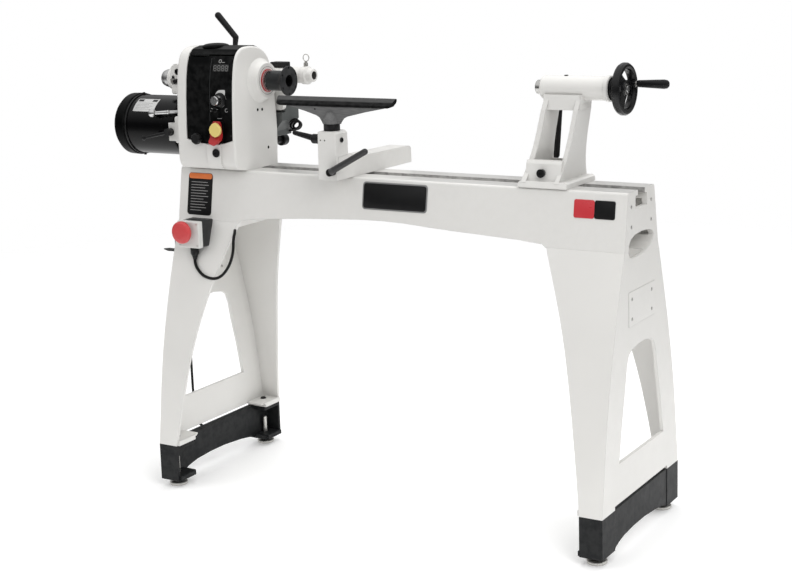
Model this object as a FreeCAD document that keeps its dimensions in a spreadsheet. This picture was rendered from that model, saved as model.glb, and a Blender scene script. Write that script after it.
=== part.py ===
import FreeCAD, Part
import math
import os

import Sketcher
from FreeCAD import Placement, Rotation, Vector

# A floor-standing wood lathe. The bed runs along X with the headstock at its left, -X, end. The
# operator stands in front, at -Y, and Z is up from the floor under the levelling feet.
# Dimensions are in millimetres. X is measured from the middle of the bed, and origin_x then
# moves every piece to the machine's own origin.

doc = FreeCAD.newDocument("WoodLathe")
sheet = doc.addObject("Spreadsheet::Sheet", "Dimensions")

# ---------------------------------------------------------------- driving dimensions
DIMENSIONS = {
    # whole machine
    "origin_x": 102.5,
    "bed_length": 1326.0,
    "bed_top": 870.6,
    "bed_top_width": 160.0,
    "bed_foot_width": 206.0,
    "bed_seat": 731.0,
    "slot_width": 42.0,
    "lip_depth": 12.6,
    "tee_width": 71.0,
    "tee_floor": 827.0,
    "bed_wall": 14.0,
    "spindle_axis": 1106.0,
    # legs, risers and feet
    "leg_wall": 9.0,
    "leg_plate": 14.0,
    "riser_top": 121.5,
    "riser_bottom": 21.0,
    "riser_wall": 8.0,
    "foot_spread_x": 633.0,
    "foot_spread_y": 205.0,
    "foot_pad_radius": 25.0,
    "foot_stud_radius": 6.0,
    "bolt_radius": 5.0,
    "bolt_head_radius": 8.5,
    # headstock
    "head_left": -634.0,
    "head_right": -440.0,
    "cover_left": -602.0,
    "cover_right": -447.0,
    "door_seam": -522.0,
    "cover_thickness": 5.0,
    "spindle_radius": 20.0,
    "spindle_bore_radius": 8.0,
    "nose_radius": 15.875,
    "bearing_radius": 34.0,
    "bearing_width": 15.0,
    "boss_face": -416.0,
    "faceplate_radius": 40.0,
    "faceplate_face": -345.0,
    "faceplate_thickness": 10.0,
    "faceplate_hub_radius": 27.0,
    "faceplate_pcd_radius": 35.0,
    "faceplate_hole_radius": 2.4,
    # motor and belt drive
    "motor_y": 20.0,
    "motor_z": 972.0,
    "motor_radius": 83.0,
    "motor_left": -919.0,
    "fan_cover_left": -875.0,
    "shaft_radius": 9.5,
    "spindle_pulley_radius": 39.0,
    "motor_pulley_radius": 27.0,
    "pulley_left": -592.0,
    "pulley_width": 26.0,
    # tailstock
    "tail_left": 360.0,
    "tail_right": 502.0,
    "barrel_radius": 29.0,
    "barrel_left": 409.0,
    "barrel_right": 589.0,
    "quill_radius": 17.5,
    "quill_nose": 393.0,
    "screw_radius": 8.0,
    "wheel_radius": 62.5,
    "wheel_left": 597.0,
    "wheel_right": 631.0,
    # tool rest
    "rest_x": -130.0,
    "rest_y": -125.0,
    "rest_base_left": -161.0,
    "rest_base_right": -101.0,
    "post_radius": 12.7,
    "collar_radius": 21.0,
    # eccentric clamps
    "eccentric": 3.0,
    "cam_radius": 8.0,
    "journal_radius": 9.0,
    "head_cam_x": -499.0,
    "head_cam_z": 922.0,
    "tail_cam_x": 436.0,
    "tail_cam_z": 906.0,
    "rest_cam_x": -118.0,
    "rest_cam_z": 893.0,
}


class Size:
    """A number and the sheet formula that makes it."""

    def __init__(self, number, formula):
        self.number = float(number)
        self.formula = formula

    def __add__(self, other):
        other = size(other)
        return Size(self.number + other.number, "(%s + %s)" % (self.formula, other.formula))

    __radd__ = __add__

    def __sub__(self, other):
        other = size(other)
        return Size(self.number - other.number, "(%s - %s)" % (self.formula, other.formula))

    def __rsub__(self, other):
        return size(other) - self

    def __mul__(self, other):
        other = size(other)
        return Size(self.number * other.number, "(%s * %s)" % (self.formula, other.formula))

    __rmul__ = __mul__

    def __truediv__(self, other):
        other = size(other)
        return Size(self.number / other.number, "(%s / %s)" % (self.formula, other.formula))

    def __neg__(self):
        return Size(-self.number, "(0 - %s)" % self.formula)


def size(value):
    return value if isinstance(value, Size) else Size(value, "%.6f" % float(value))


class Dimensions:
    """Every driving dimension as a Size, under its alias."""


dims = Dimensions()
for row, (alias, value) in enumerate(DIMENSIONS.items(), start=1):
    sheet.set("A%d" % row, alias)
    sheet.set("B%d" % row, repr(value))
    sheet.setAlias("B%d" % row, alias)
    setattr(dims, alias, Size(value, "Dimensions." + alias))
doc.recompute()

BED_TOP = dims.bed_top
BED_SEAT = dims.bed_seat
BED_END = dims.bed_length / 2
TOP_HALF = dims.bed_top_width / 2
FOOT_HALF = dims.bed_foot_width / 2
SLOT_HALF = dims.slot_width / 2
TEE_HALF = dims.tee_width / 2
LIP_BOTTOM = BED_TOP - dims.lip_depth
AXIS_Z = dims.spindle_axis
RISER_TOP = dims.riser_top
RISER_BOTTOM = dims.riser_bottom
STUD_RADIUS = dims.foot_stud_radius
STUD_BOTTOM = BED_TOP - 36  # lower end of the clamp studs
SIDES = (-1, 1)

# ---------------------------------------------------------------- modelling helpers
AXES = {
    "x": Rotation(Vector(0, 1, 0), 90),
    "y": Rotation(Vector(1, 0, 0), -90),
    "z": Rotation(),
}
PLANE_ROLES = {"xy": "XY_Plane", "xz": "XZ_Plane", "yz": "YZ_Plane"}


def point(x, y, z):
    return Vector(size(x).number, size(y).number, size(z).number)


def bind(obj, prop, value):
    value = size(value)
    setattr(obj, prop, value.number)
    obj.setExpression(prop, value.formula)


def place(obj, x, y, z, rotation=None, prop="Placement"):
    setattr(obj, prop, Placement(point(x, y, z), rotation or Rotation()))
    for axis, value in zip("xyz", (x, y, z)):
        obj.setExpression("%s.Base.%s" % (prop, axis), size(value).formula)
    return obj


def primitive(kind, x, y, z, rotation=None, **sizes):
    obj = doc.addObject("Part::" + kind, kind)
    for prop, value in sizes.items():
        bind(obj, prop, value)
    return place(obj, x, y, z, rotation)


def box(x0, x1, y0, y1, z0, z1):
    return primitive(
        "Box", x0, y0, z0, Length=size(x1) - x0, Width=size(y1) - y0, Height=size(z1) - z0
    )


def bar(axis, x, y, z, radius, length):
    """A round bar that starts at x, y, z and runs along +axis."""
    return primitive("Cylinder", x, y, z, AXES[axis], Radius=radius, Height=length)


def ball(x, y, z, radius):
    return primitive("Sphere", x, y, z, Radius=radius)


def rod(start, end, radius, end_radius=None):
    """A round rod, or a taper, between two points."""
    run = point(*end) - point(*start)
    turn = Rotation(Vector(0, 0, 1), run)
    if end_radius is None:
        return primitive("Cylinder", *start, turn, Radius=radius, Height=run.Length)
    return primitive(
        "Cone", *start, turn, Radius1=radius, Radius2=end_radius, Height=run.Length
    )


def fuse(*parts):
    if len(parts) == 1:
        return parts[0]
    union = doc.addObject("Part::MultiFuse", "Union")
    union.Shapes = list(parts)
    union.Refine = True
    return union


def cut(base, *tools):
    difference = doc.addObject("Part::Cut", "Difference")
    difference.Base, difference.Tool = base, fuse(*tools)
    difference.Refine = True
    return difference


def common(first, second):
    overlap = doc.addObject("Part::Common", "Intersection")
    overlap.Base, overlap.Tool = first, second
    overlap.Refine = True
    return overlap


def mirrored(obj):
    """The piece reflected to the other end of the machine."""
    mirror = doc.addObject("Part::Mirroring", "Mirror")
    mirror.Source = obj
    mirror.Base = Vector(0, 0, 0)
    mirror.Normal = Vector(1, 0, 0)
    return mirror


def group(*parts):
    compound = doc.addObject("Part::Compound", "Set")
    compound.Links = list(parts)
    return compound


def picked_edges(obj, pick):
    """Numbers of the edges whose bounding box satisfies pick."""
    doc.recompute()
    edges = [i for i, e in enumerate(obj.Shape.Edges, start=1) if pick(e.BoundBox)]
    if not edges:
        raise RuntimeError("no edges picked on " + obj.Label)
    return edges


def rounded(obj, radius, pick):
    edges = picked_edges(obj, pick)
    if obj.TypeId == "PartDesign::Body":
        base = obj.Tip
        fillet = obj.newObject("PartDesign::Fillet", "Fillet")
        fillet.Base = (base, ["Edge%d" % i for i in edges])
        bind(fillet, "Radius", radius)
        obj.Tip = fillet
        return obj
    fillet = doc.addObject("Part::Fillet", "Round")
    fillet.Base = obj
    fillet.Edges = [(i, radius, radius) for i in edges]
    return fillet


def chamfered(obj, width, pick):
    edges = picked_edges(obj, pick)
    chamfer = doc.addObject("Part::Chamfer", "Bevel")
    chamfer.Base = obj
    chamfer.Edges = [(i, width, width) for i in edges]
    return chamfer


def near(value, target):
    return abs(value - size(target).number) < 0.01


def origin_plane(body, plane):
    for feature in body.Origin.OriginFeatures:
        if feature.Role == PLANE_ROLES[plane]:
            return feature
    raise RuntimeError(plane)


def sketch(body, plane, points, shift, spline=None):
    """A closed outline on one of the body's own planes, shifted along the plane's u, v and
    normal. spline is a run of points (first, last) that a curve follows."""
    outline = body.newObject("Sketcher::SketchObject", "Profile")
    outline.AttachmentSupport = [(origin_plane(body, plane), "")]
    outline.MapMode = "FlatFace"
    place(outline, *shift, prop="AttachmentOffset")
    corners = [point(u, v, 0) for u, v in points]
    count = len(corners)
    if spline:
        first, last = spline
        curve = Part.BSplineCurve()
        curve.interpolate(corners[first : last + 1])
        outline.addGeometry(curve, False)
        order = list(range(last, count)) + list(range(0, first + 1))
        for i, j in zip(order, order[1:]):
            outline.addGeometry(Part.LineSegment(corners[i], corners[j]), False)
        return outline

    for i in range(count):
        outline.addGeometry(Part.LineSegment(corners[i], corners[(i + 1) % count]), False)
    for i in range(count):
        outline.addConstraint(Sketcher.Constraint("Coincident", i, 2, (i + 1) % count, 1))
    for i, pair in enumerate(points):
        for name, kind, value in zip("uv", ("DistanceX", "DistanceY"), pair):
            value = size(value)
            k = outline.addConstraint(Sketcher.Constraint(kind, -1, 1, i, 1, value.number))
            outline.renameConstraint(k, "%s%d" % (name, i))
            outline.setExpression("Constraints.%s%d" % (name, i), value.formula)
    return outline


def prism(name, plane, points, start, end, spline=None):
    """An outline padded from start to end along the axis across its plane."""
    body = doc.addObject("PartDesign::Body", name)
    # The xz plane's normal points to -Y, so its pad starts at the far end.
    offset = -size(end) if plane == "xz" else start
    pad_sketch = sketch(body, plane, points, (0, 0, offset), spline)
    pad = body.newObject("PartDesign::Pad", "Pad")
    pad.Profile = pad_sketch
    bind(pad, "Length", size(end) - start)
    body.Tip = pad
    return body


def lathe(name, axis, x, y, z, points):
    """A body turned about an axis through x, y, z. points are (distance along axis, radius)."""
    body = doc.addObject("PartDesign::Body", name)
    if axis == "y":
        outline = sketch(body, "yz", points, (y, z, x))
    else:
        if axis == "z":
            points = [(radius, along) for along, radius in points]
        outline = sketch(body, "xz", points, (x, z, -size(y)))
    turned = body.newObject("PartDesign::Revolution", "Revolution")
    turned.Profile = outline
    turned.ReferenceAxis = (outline, ["V_Axis" if axis == "z" else "H_Axis"])
    turned.Angle = 360
    body.Tip = turned
    return body


def polar(u, v, radius, degrees):
    """The point at an angle on a circle about u, v."""
    angle = math.radians(degrees)
    return u + radius * math.cos(angle), v + radius * math.sin(angle)


def hexagon(name, x, y, radius, z0, z1):
    return prism(name, "xy", [polar(x, y, radius, 60 * i) for i in range(6)], z0, z1)


# ---------------------------------------------------------------- bed
# (x, z) of the bed's arched underside, between the flats that sit on the legs
BED_ARCH = [
    (-448, 738), (-388, 745), (-313, 750), (-242, 755), (-163, 759), (-80, 763), (-7, 764),
    (60, 762), (129, 757), (195, 753), (260, 750), (382, 744), (448, 738),
]
ARCH_END = 457
# (y, z) of the opening through each end of the bed and the top of each leg
HAND_HOLE = [
    (-78, 726), (-72, 716), (-60, 712), (-20, 711), (20, 714), (52, 722), (70, 736),
    (76, 748), (70, 758), (48, 765), (0, 768), (-40, 766), (-64, 758), (-77, 744),
]
HAND_HOLE_START = 596
RIB_PLACES = (-300, -100, 100, 300)
# (x, y) of the bolts between bed and right leg; the left side mirrors them
SEAT_BOLTS = [(x, y) for x in (500, 575) for y in (-60, 60)]
SCREW_Y = 61
SCREW_RADIUS = 3.4


def bed_section(name, foot_half, x0, x1):
    points = [
        (-TOP_HALF, BED_TOP), (TOP_HALF, BED_TOP), (foot_half, BED_SEAT), (-foot_half, BED_SEAT)
    ]
    return prism(name, "yz", points, x0, x1)


def tee_outline(lower):
    """The slot and tee, as (y, z), closed below by the lower points."""
    return [
        (-SLOT_HALF, BED_TOP + 5), (SLOT_HALF, BED_TOP + 5),
        (SLOT_HALF, LIP_BOTTOM), (TEE_HALF, LIP_BOTTOM),
        *lower,
        (-TEE_HALF, LIP_BOTTOM), (-SLOT_HALF, LIP_BOTTOM),
    ]


def bed():
    side = prism(
        "BedSide", "xz",
        [
            (-BED_END, BED_TOP), (-BED_END, BED_SEAT), (-ARCH_END, BED_SEAT),
            *BED_ARCH,
            (ARCH_END, BED_SEAT), (BED_END, BED_SEAT), (BED_END, BED_TOP),
        ],
        -FOOT_HALF - 5, FOOT_HALF + 5,
    )
    blank = common(side, bed_section("BedSection", FOOT_HALF, -BED_END, BED_END))

    inner_half = FOOT_HALF - dims.bed_wall
    hollow_floor = BED_SEAT + dims.leg_plate
    hollow = prism(
        "BedHollow", "yz",
        tee_outline([
            (TEE_HALF, BED_TOP - 30), (TOP_HALF - 13, BED_TOP - 36), (inner_half, hollow_floor),
            (-inner_half, hollow_floor), (-TOP_HALF + 13, BED_TOP - 36), (-TEE_HALF, BED_TOP - 30),
        ]),
        -BED_END + dims.bed_wall, BED_END - dims.bed_wall,
    )
    end_tee = prism(
        "EndTee", "yz",
        tee_outline([(TEE_HALF, dims.tee_floor), (-TEE_HALF, dims.tee_floor)]),
        -BED_END - 5, BED_END + 5,
    )
    open_bottom = box(-455, 455, -inner_half, inner_half, BED_SEAT - 5, BED_SEAT + 20)
    hand_right = prism("HandHole", "yz", HAND_HOLE, HAND_HOLE_START, BED_END + 5)
    hand_left = prism("HandHoleLeft", "yz", HAND_HOLE, -BED_END - 5, -HAND_HOLE_START)
    end_holes = [
        bar("x", BED_END - 30, y, z, SCREW_RADIUS, 35)
        for y in (-SCREW_Y, SCREW_Y)
        for z in (787, 835.5)
    ]
    seat_holes = [
        bar("z", side * x, y, BED_SEAT - 5, dims.bolt_radius + 0.1, 40)
        for side in SIDES
        for x, y in SEAT_BOLTS
    ]
    shell = cut(
        blank, fuse(hollow, end_tee), open_bottom, hand_right, hand_left, *end_holes, *seat_holes
    )
    ribs = [
        common(
            box(x - 5, x + 5, -FOOT_HALF, FOOT_HALF, BED_SEAT + 35, dims.tee_floor - 4),
            bed_section("RibSection", FOOT_HALF - 1, x - 10, x + 10),
        )
        for x in RIB_PLACES
    ]
    return rounded(
        fuse(shell, *ribs), 7,
        lambda span: span.XLength > 1000 and span.ZMin > 869.0
        and abs(span.YMin) > 78 and abs(span.YMax) > 78,
    )


# ---------------------------------------------------------------- legs
# height, x of the face towards mid-bed, half width, and which way a trim moves the height
LEG_STATIONS = [
    (BED_SEAT, 460.0, 103.0, -1),
    (624.0, 500.0, 138.0, 0),
    (533.0, 530.0, 165.0, 0),
    (401.0, 562.0, 198.0, 0),
    (263.0, 585.0, 222.0, 0),
    (RISER_TOP, 603.0, 241.0, 1),
]
# (y, z) of the large opening in the leg's end face
LEG_WINDOW = [
    (-140, 229), (140, 229), (122, 320), (102, 400), (92, 450), (80, 478), (60, 490),
    (22, 496), (-22, 496), (-60, 490), (-80, 478), (-92, 450), (-102, 400), (-122, 320),
]
RISER_BOLT_Y = 202


def leg_block(name, inset=0, reach=0, trim=0):
    """A loft up the right leg's stations. inset narrows it, reach takes it further towards
    mid-bed, and trim shortens both ends."""
    body = doc.addObject("PartDesign::Body", name)
    sketches = []
    for z, x, half_width, trim_way in LEG_STATIONS:
        near_x, far_x = x - reach, BED_END - inset
        half = half_width - size(inset)
        corners = [(near_x, -half), (far_x, -half), (far_x, half), (near_x, half)]
        sketches.append(sketch(body, "xy", corners, (0, 0, z + trim * trim_way)))
    loft = body.newObject("PartDesign::AdditiveLoft", "Loft")
    loft.Profile = sketches[0]
    loft.Sections = sketches[1:]
    loft.Ruled = False
    body.Tip = loft
    return body


def leg(prefix):
    """The leg under the right end of the bed."""
    outer = leg_block(prefix + "Outer")
    inner = leg_block(prefix + "Inner", dims.leg_wall, 40, dims.leg_plate)
    shell = cut(outer, inner)
    window = prism(prefix + "Window", "yz", LEG_WINDOW, BED_END - 40, BED_END + 5)
    notch = box(540, BED_END + 5, -166, 166, RISER_TOP - 5, RISER_TOP + 9)
    clearance = box(540, BED_END - dims.leg_wall, -150, 150, RISER_TOP - 5, RISER_TOP + 16)
    foot_pads = [
        box(597, 640, y0, y1, RISER_TOP, RISER_TOP + 13) for y0, y1 in ((-236, -160), (160, 236))
    ]
    hand_hole = prism(prefix + "Hand", "yz", HAND_HOLE, HAND_HOLE_START, BED_END + 5)
    screw_holes = [
        bar("x", BED_END - 30, y, z, SCREW_RADIUS, 35)
        for y in (-SCREW_Y, SCREW_Y)
        for z in (565.0, 613.5)
    ]
    seat_holes = [
        bar("z", x, y, BED_SEAT - 20, dims.bolt_radius + 0.5, 30) for x, y in SEAT_BOLTS
    ]
    riser_holes = [
        bar("z", dims.foot_spread_x, side * RISER_BOLT_Y, RISER_TOP - 5,
            dims.bolt_radius + 0.1, 30)
        for side in SIDES
    ]
    end_pad = box(BED_END - 12, BED_END + 1.2, -80, 80, 548, 632)
    return cut(
        fuse(shell, end_pad, *foot_pads),
        window, notch, clearance, hand_hole, *screw_holes, *seat_holes, *riser_holes,
    )


def right_leg():
    return leg("RightLeg")


def left_leg():
    return mirrored(leg("LeftLeg"))


# ---------------------------------------------------------------- risers, bolts and feet
RISER_INNER = 603  # x of the riser ends' face towards mid-bed
RISER_HALF = 241
RISER_FOOT = 166  # y where each foot of the riser begins
# (y, z) of the arch under the riser
RISER_ARCH = [
    (-158, 27), (-140, 33), (-107, 39.5), (-45, 43.5), (19, 43.5), (100, 37), (140, 31),
    (158, 27),
]
RISER_FLOOR = 12  # thickness of the plates that take the bolts and feet
BOLT_HEAD_HEIGHT = 6.4


def riser(prefix):
    """The riser under the right leg."""
    beam = prism(
        prefix + "Beam", "yz",
        [
            (-RISER_HALF, RISER_TOP), (-RISER_HALF, RISER_BOTTOM), (-RISER_FOOT, RISER_BOTTOM),
            *RISER_ARCH,
            (RISER_FOOT, RISER_BOTTOM), (RISER_HALF, RISER_BOTTOM), (RISER_HALF, RISER_TOP),
        ],
        BED_END - 20, BED_END - 1.5,
    )
    pad_top = RISER_BOTTOM + RISER_FLOOR
    body = fuse(
        beam,
        box(RISER_INNER, BED_END, -RISER_HALF, -RISER_FOOT, RISER_BOTTOM, RISER_TOP),
        box(RISER_INNER, BED_END, RISER_FOOT, RISER_HALF, RISER_BOTTOM, RISER_TOP),
        box(597, 640, -236, -172, RISER_BOTTOM, pad_top),
        box(597, 640, 172, 236, RISER_BOTTOM, pad_top),
    )
    hollow_y = RISER_HALF - dims.riser_wall
    hollow_top = RISER_TOP - RISER_FLOOR
    hollows = [
        box(580, BED_END - 20, -hollow_y, -150, pad_top, hollow_top),
        box(580, BED_END - 20, 150, hollow_y, pad_top, hollow_top),
    ]
    bolt_holes = [
        bar("z", dims.foot_spread_x, side * RISER_BOLT_Y, RISER_TOP - 20,
            dims.bolt_radius + 0.5, 30)
        for side in SIDES
    ]
    stud_holes = [
        bar("z", dims.foot_spread_x, side * dims.foot_spread_y, RISER_BOTTOM - 5,
            STUD_RADIUS + 0.2, 30)
        for side in SIDES
    ]
    return cut(body, *hollows, *bolt_holes, *stud_holes)


def right_riser():
    return riser("RightRiser")


def left_riser():
    return mirrored(riser("LeftRiser"))


def hex_bolt(x, y, z, length):
    """A hexagon head just under z and a shank that runs up from it."""
    head = hexagon("BoltHead", x, y, dims.bolt_head_radius, z - BOLT_HEAD_HEIGHT, z)
    return fuse(head, bar("z", x, y, z - 1, dims.bolt_radius, length + 1))


def frame_bolts():
    leg_bolts = [
        hex_bolt(side * x, y, BED_SEAT - dims.leg_plate, 32)
        for side in SIDES
        for x, y in SEAT_BOLTS
    ]
    riser_bolts = [
        hex_bolt(x_side * dims.foot_spread_x, y_side * RISER_BOLT_Y, RISER_TOP - RISER_FLOOR, 24)
        for x_side in SIDES
        for y_side in SIDES
    ]
    return group(*leg_bolts, *riser_bolts)


def jam_nut(x, y):
    nut = hexagon("NutHex", x, y, 10.4, RISER_BOTTOM - 6, RISER_BOTTOM)
    return cut(nut, bar("z", x, y, RISER_BOTTOM - 10, STUD_RADIUS + 0.15, 20))


def jam_nuts():
    return group(*[
        jam_nut(x_side * dims.foot_spread_x, y_side * dims.foot_spread_y)
        for x_side in SIDES
        for y_side in SIDES
    ])


def levelling_foot(x_side, y_side):
    pad = dims.foot_pad_radius
    return lathe(
        "Foot", "z", x_side * dims.foot_spread_x, y_side * dims.foot_spread_y, 0,
        [
            (0, 0), (0, pad - 1.5), (1.5, pad), (7, pad), (8.5, pad - 1.5), (9.5, pad - 5),
            (12, 12), (14.5, 9), (14.5, STUD_RADIUS), (78, STUD_RADIUS), (80, 4.5), (80, 0),
        ],
    )


# ---------------------------------------------------------------- headstock casting
HEAD_LEFT, HEAD_RIGHT = dims.head_left, dims.head_right
COVER_LEFT, COVER_RIGHT = dims.cover_left, dims.cover_right
# (y, z) round the casting, from its front foot over the top to its rear foot
HEAD_OUTLINE = [
    (-82, BED_TOP), (-112, 876), (-122, 890), (-125.5, 915), (-126, 945), (-125, 985),
    (-122.5, 1030), (-120, 1070), (-115.5, 1117), (-109, 1152), (-98, 1180), (-80, 1195),
    (-50, 1200.5), (-12, 1198), (14, 1189), (36, 1172), (49, 1148), (56, 1118), (62, 1080),
    (67, 1040), (70, 1000), (70, 940), (66, BED_TOP),
]
# (y, z) of the opening that the covers close
OPENING_OUTLINE = [
    (-220, 936), (56, 936), (57.5, 1000), (54, 1040), (49, 1080), (43, 1118), (34, 1146),
    (24, 1160), (24, 1300), (-220, 1300),
]
# (y, z) of the hollow left of the covers
LEFT_HOLLOW = [
    (-104, BED_TOP + 15), (52, BED_TOP + 15), (58, 1000), (48, 1090), (36, 1150), (8, 1180),
    (-50, 1189), (-86, 1180), (-104, 1120), (-112, 1040), (-112, 960),
]
# (x, z) of the curved lower edge of the opening and covers
COVER_FOOT = [
    (-602, 956), (-585, 951), (-560, 946.8), (-535, 944.2), (-515, 943.6), (-490, 945.2),
    (-470, 948.8), (-447, 955.5),
]
INDEX_PIN_X, INDEX_PIN_Z = -698, 1127
LOCK_LEVER_X, LOCK_LEVER_Z = -698, 965
PEG_Y = 63  # peg between motor plate and headstock
BRACKET_LEFT = -686


def above_foot(name, lift):
    """Everything over the curved foot of the covers, raised by lift."""
    return prism(
        name, "xz",
        [
            (-640, 956 + lift),
            *[(x, z + lift) for x, z in COVER_FOOT],
            (-420, 955.5 + lift), (-420, 1290), (-640, 1290),
        ],
        -230, 60,
    )


def head_solid():
    shell = rounded(
        prism("HeadShell", "yz", HEAD_OUTLINE, HEAD_LEFT, HEAD_RIGHT, spline=(1, 21)), 6,
        lambda span: span.XLength < 0.01 and span.ZLength > 100
        and (near(span.XMin, HEAD_RIGHT) or near(span.XMin, HEAD_LEFT)),
    )
    face = dims.boss_face
    right_boss = lathe(
        "RightBoss", "x", 0, 0, AXIS_Z,
        [
            (HEAD_RIGHT - 8, 0), (HEAD_RIGHT - 8, 64), (HEAD_RIGHT, 60), (HEAD_RIGHT + 8, 53),
            (HEAD_RIGHT + 16, 49.5), (face - 1.5, 48), (face, 46.5), (face, 0),
        ],
    )
    tenon = box(-618, -462, -SLOT_HALF + 0.1, SLOT_HALF - 0.1, BED_TOP - 7.4, BED_TOP + 2)
    joint_x = HEAD_LEFT + 5
    motor_bracket = rounded(
        box(BRACKET_LEFT, joint_x, -74, -46, 934, 1008), 6,
        lambda span: abs(span.XMax - BRACKET_LEFT) < 0.1 or span.YMax < -73.9,
    )
    lug = box(-706, joint_x, -74, -64, 940, 990)
    boss_block = rounded(
        box(-720, joint_x, -34, 34, 1064, 1144), 9, lambda span: span.XLength > 50
    )
    boss_lobe = bar("y", -702, -34, 1132, 17, 68)
    boss_nose = lathe(
        "IndexBoss", "x", 0, 0, AXIS_Z,
        [(-740, 0), (-740, 29), (-737, 32), (joint_x, 34), (joint_x, 0)],
    )
    rear_pad = box(-528, -455, 60, 76, 952, 1052)
    arm_pad = box(-545, -470, 45, 78, 1082, 1142)
    front_rib = prism(
        "FrontRib", "yz",
        [
            (-100, BED_TOP + 6), (-119, 878), (-128.5, 893), (-131, 912), (-131, 944),
            (-100, 949),
        ],
        -532, -487,
    )
    return fuse(
        shell, right_boss, tenon, motor_bracket, lug, boss_block, boss_lobe, boss_nose,
        rear_pad, arm_pad, front_rib,
    )


def headstock_casting():
    solid = head_solid()
    opening = common(
        prism("HeadOpening", "yz", OPENING_OUTLINE, COVER_LEFT, COVER_RIGHT),
        above_foot("OpeningFoot", 0),
    )
    base_hollow = box(-610, -462, -98, 54, BED_TOP + 15, 955)
    # The hollow leaves a round boss standing about the left bearing.
    left_hollow = cut(
        prism("LeftHollow", "yz", LEFT_HOLLOW, HEAD_LEFT + 9, COVER_LEFT + 1),
        bar("x", HEAD_LEFT, 0, AXIS_Z, 42, 40),
    )
    shaft_slot = box(
        HEAD_LEFT - 10, HEAD_LEFT + 12, dims.motor_y - 18, dims.motor_y + 18,
        dims.motor_z - 16, dims.motor_z + 34,
    )
    bearing_seat = dims.bearing_radius + 0.05
    seat_start = -460
    cam_x = dims.head_cam_x
    return cut(
        solid, opening, base_hollow, left_hollow, shaft_slot,
        # right and left spindle bores
        bar("x", seat_start, 0, AXIS_Z, bearing_seat, dims.boss_face - 5 - seat_start),
        bar("x", -430, 0, AXIS_Z, dims.spindle_radius + 4, 30),
        bar("x", HEAD_LEFT + 10, 0, AXIS_Z, bearing_seat, 60),
        bar("x", -750, 0, AXIS_Z, dims.spindle_radius + 1, 130),
        # clamp shaft and stud
        bar("y", cam_x, -140, dims.head_cam_z, dims.journal_radius + 0.05, 260),
        bar("z", cam_x - dims.eccentric, 0, BED_TOP - 20, STUD_RADIUS + 0.5, 60),
        # pockets in the left boss for the pins, and a small hole below them
        bar("y", INDEX_PIN_X, -40, INDEX_PIN_Z, 8.05, 22),
        box(-724, -694, -40, -24, 1092, 1108),
        bar("y", -695, -40, 1075, 3.2, 14),
        # motor lock lever and motor plate peg
        bar("y", LOCK_LEVER_X, -76, LOCK_LEVER_Z, 4.05, 9),
        bar("x", -640, PEG_Y, dims.motor_z, 4.05, 20),
        # three holes in the right face
        *[
            bar("x", HEAD_RIGHT - 6, y, z, 4.2, 10)
            for y, z in ((-18, 1028), (2, 1027), (23, 921))
        ],
    )


# ---------------------------------------------------------------- headstock covers and controls
# (y, z) up the front face of the covers
COVER_FRONT = [
    (-122.5, 936), (-123, 953), (-123.2, 985), (-121, 1030), (-118.5, 1070), (-114, 1117),
    (-107.5, 1150), (-97, 1178),
]
# (y, z) over the top cover, front to rear
COVER_TOP = [
    (-94.5, 1181.5), (-81, 1194.5), (-50, 1201.8), (-12, 1201.0), (12.5, 1191.5),
    (23.2, 1181.5),
]
# (height, radius) of the shallow dome on the top cover
TOP_DOME = [
    (1197.5, 0), (1197.5, 37), (1200, 36.6), (1202.4, 35), (1204.4, 31.8), (1206, 27),
    (1207.2, 20.5), (1208, 12), (1208.4, 0),
]
DIAL_X, DIAL_Z = -487, 1063
TOGGLE_X, TOGGLE_Z = -504, 1036
KNOB_X, KNOB_Z = -561, 958.5
SWITCH_PIN_Y, SWITCH_PIN_Z = -120, 997
DOOR_PIN_Y, DOOR_PIN_Z = -96.5, 1179.3


def skin(name, run, x0, x1):
    """A strip that follows a run of (y, z) points, one cover thickness inwards."""
    thickness = dims.cover_thickness
    inner = []
    for i, (y, z) in enumerate(run):
        y0, z0 = run[max(i - 1, 0)]
        y1, z1 = run[min(i + 1, len(run) - 1)]
        dy, dz = y1 - y0, z1 - z0
        length = math.hypot(dy, dz)
        inner.append((y + thickness * (dz / length), z - thickness * (dy / length)))
    return prism(name, "yz", run + inner[::-1], x0, x1)


def control_panel():
    front = [(y - 1.5, z) for y, z in COVER_FRONT]
    panel = cut(
        skin("Panel", front, dims.door_seam + 0.5, COVER_RIGHT - 1.0),
        bar("y", DIAL_X, -140, DIAL_Z, 4.2, 40),
        bar("y", TOGGLE_X, -140, TOGGLE_Z, 3.2, 40),
    )
    bezel = rounded(
        box(-504, -475, -129, -112, 949.5, 1006), 1.2, lambda span: span.YMax < -128.9
    )
    panel = common(panel, above_foot("PanelFoot", 1.5))
    return cut(
        fuse(panel, bezel),
        box(-500, -479, -135, -100, 953, 1003),
        bar("x", -502.5, SWITCH_PIN_Y, SWITCH_PIN_Z, 2.05, 26),
    )


def belt_door():
    door = skin("Door", COVER_FRONT, COVER_LEFT + 1.0, dims.door_seam - 0.5)
    notch = box(-586, -545, -125, -80, 1175.2, 1190)
    door = common(door, above_foot("DoorFoot", 1.5))
    door = cut(door, bar("y", KNOB_X, -140, KNOB_Z, 4.6, 40), notch)
    hinge_pin = fuse(
        bar("x", -592, DOOR_PIN_Y, DOOR_PIN_Z, 1.7, 60),
        box(-592, -587, -97.2, -93.8, 1176.2, 1179.5),
        box(-544, -532, -97.2, -93.8, 1176.2, 1179.5),
    )
    return fuse(door, hinge_pin)


def top_cover():
    cover = skin("TopCover", COVER_TOP, COVER_LEFT + 1.0, COVER_RIGHT - 1.0)
    return fuse(cover, lathe("Hump", "z", -552, -42, 0, TOP_DOME))


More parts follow.
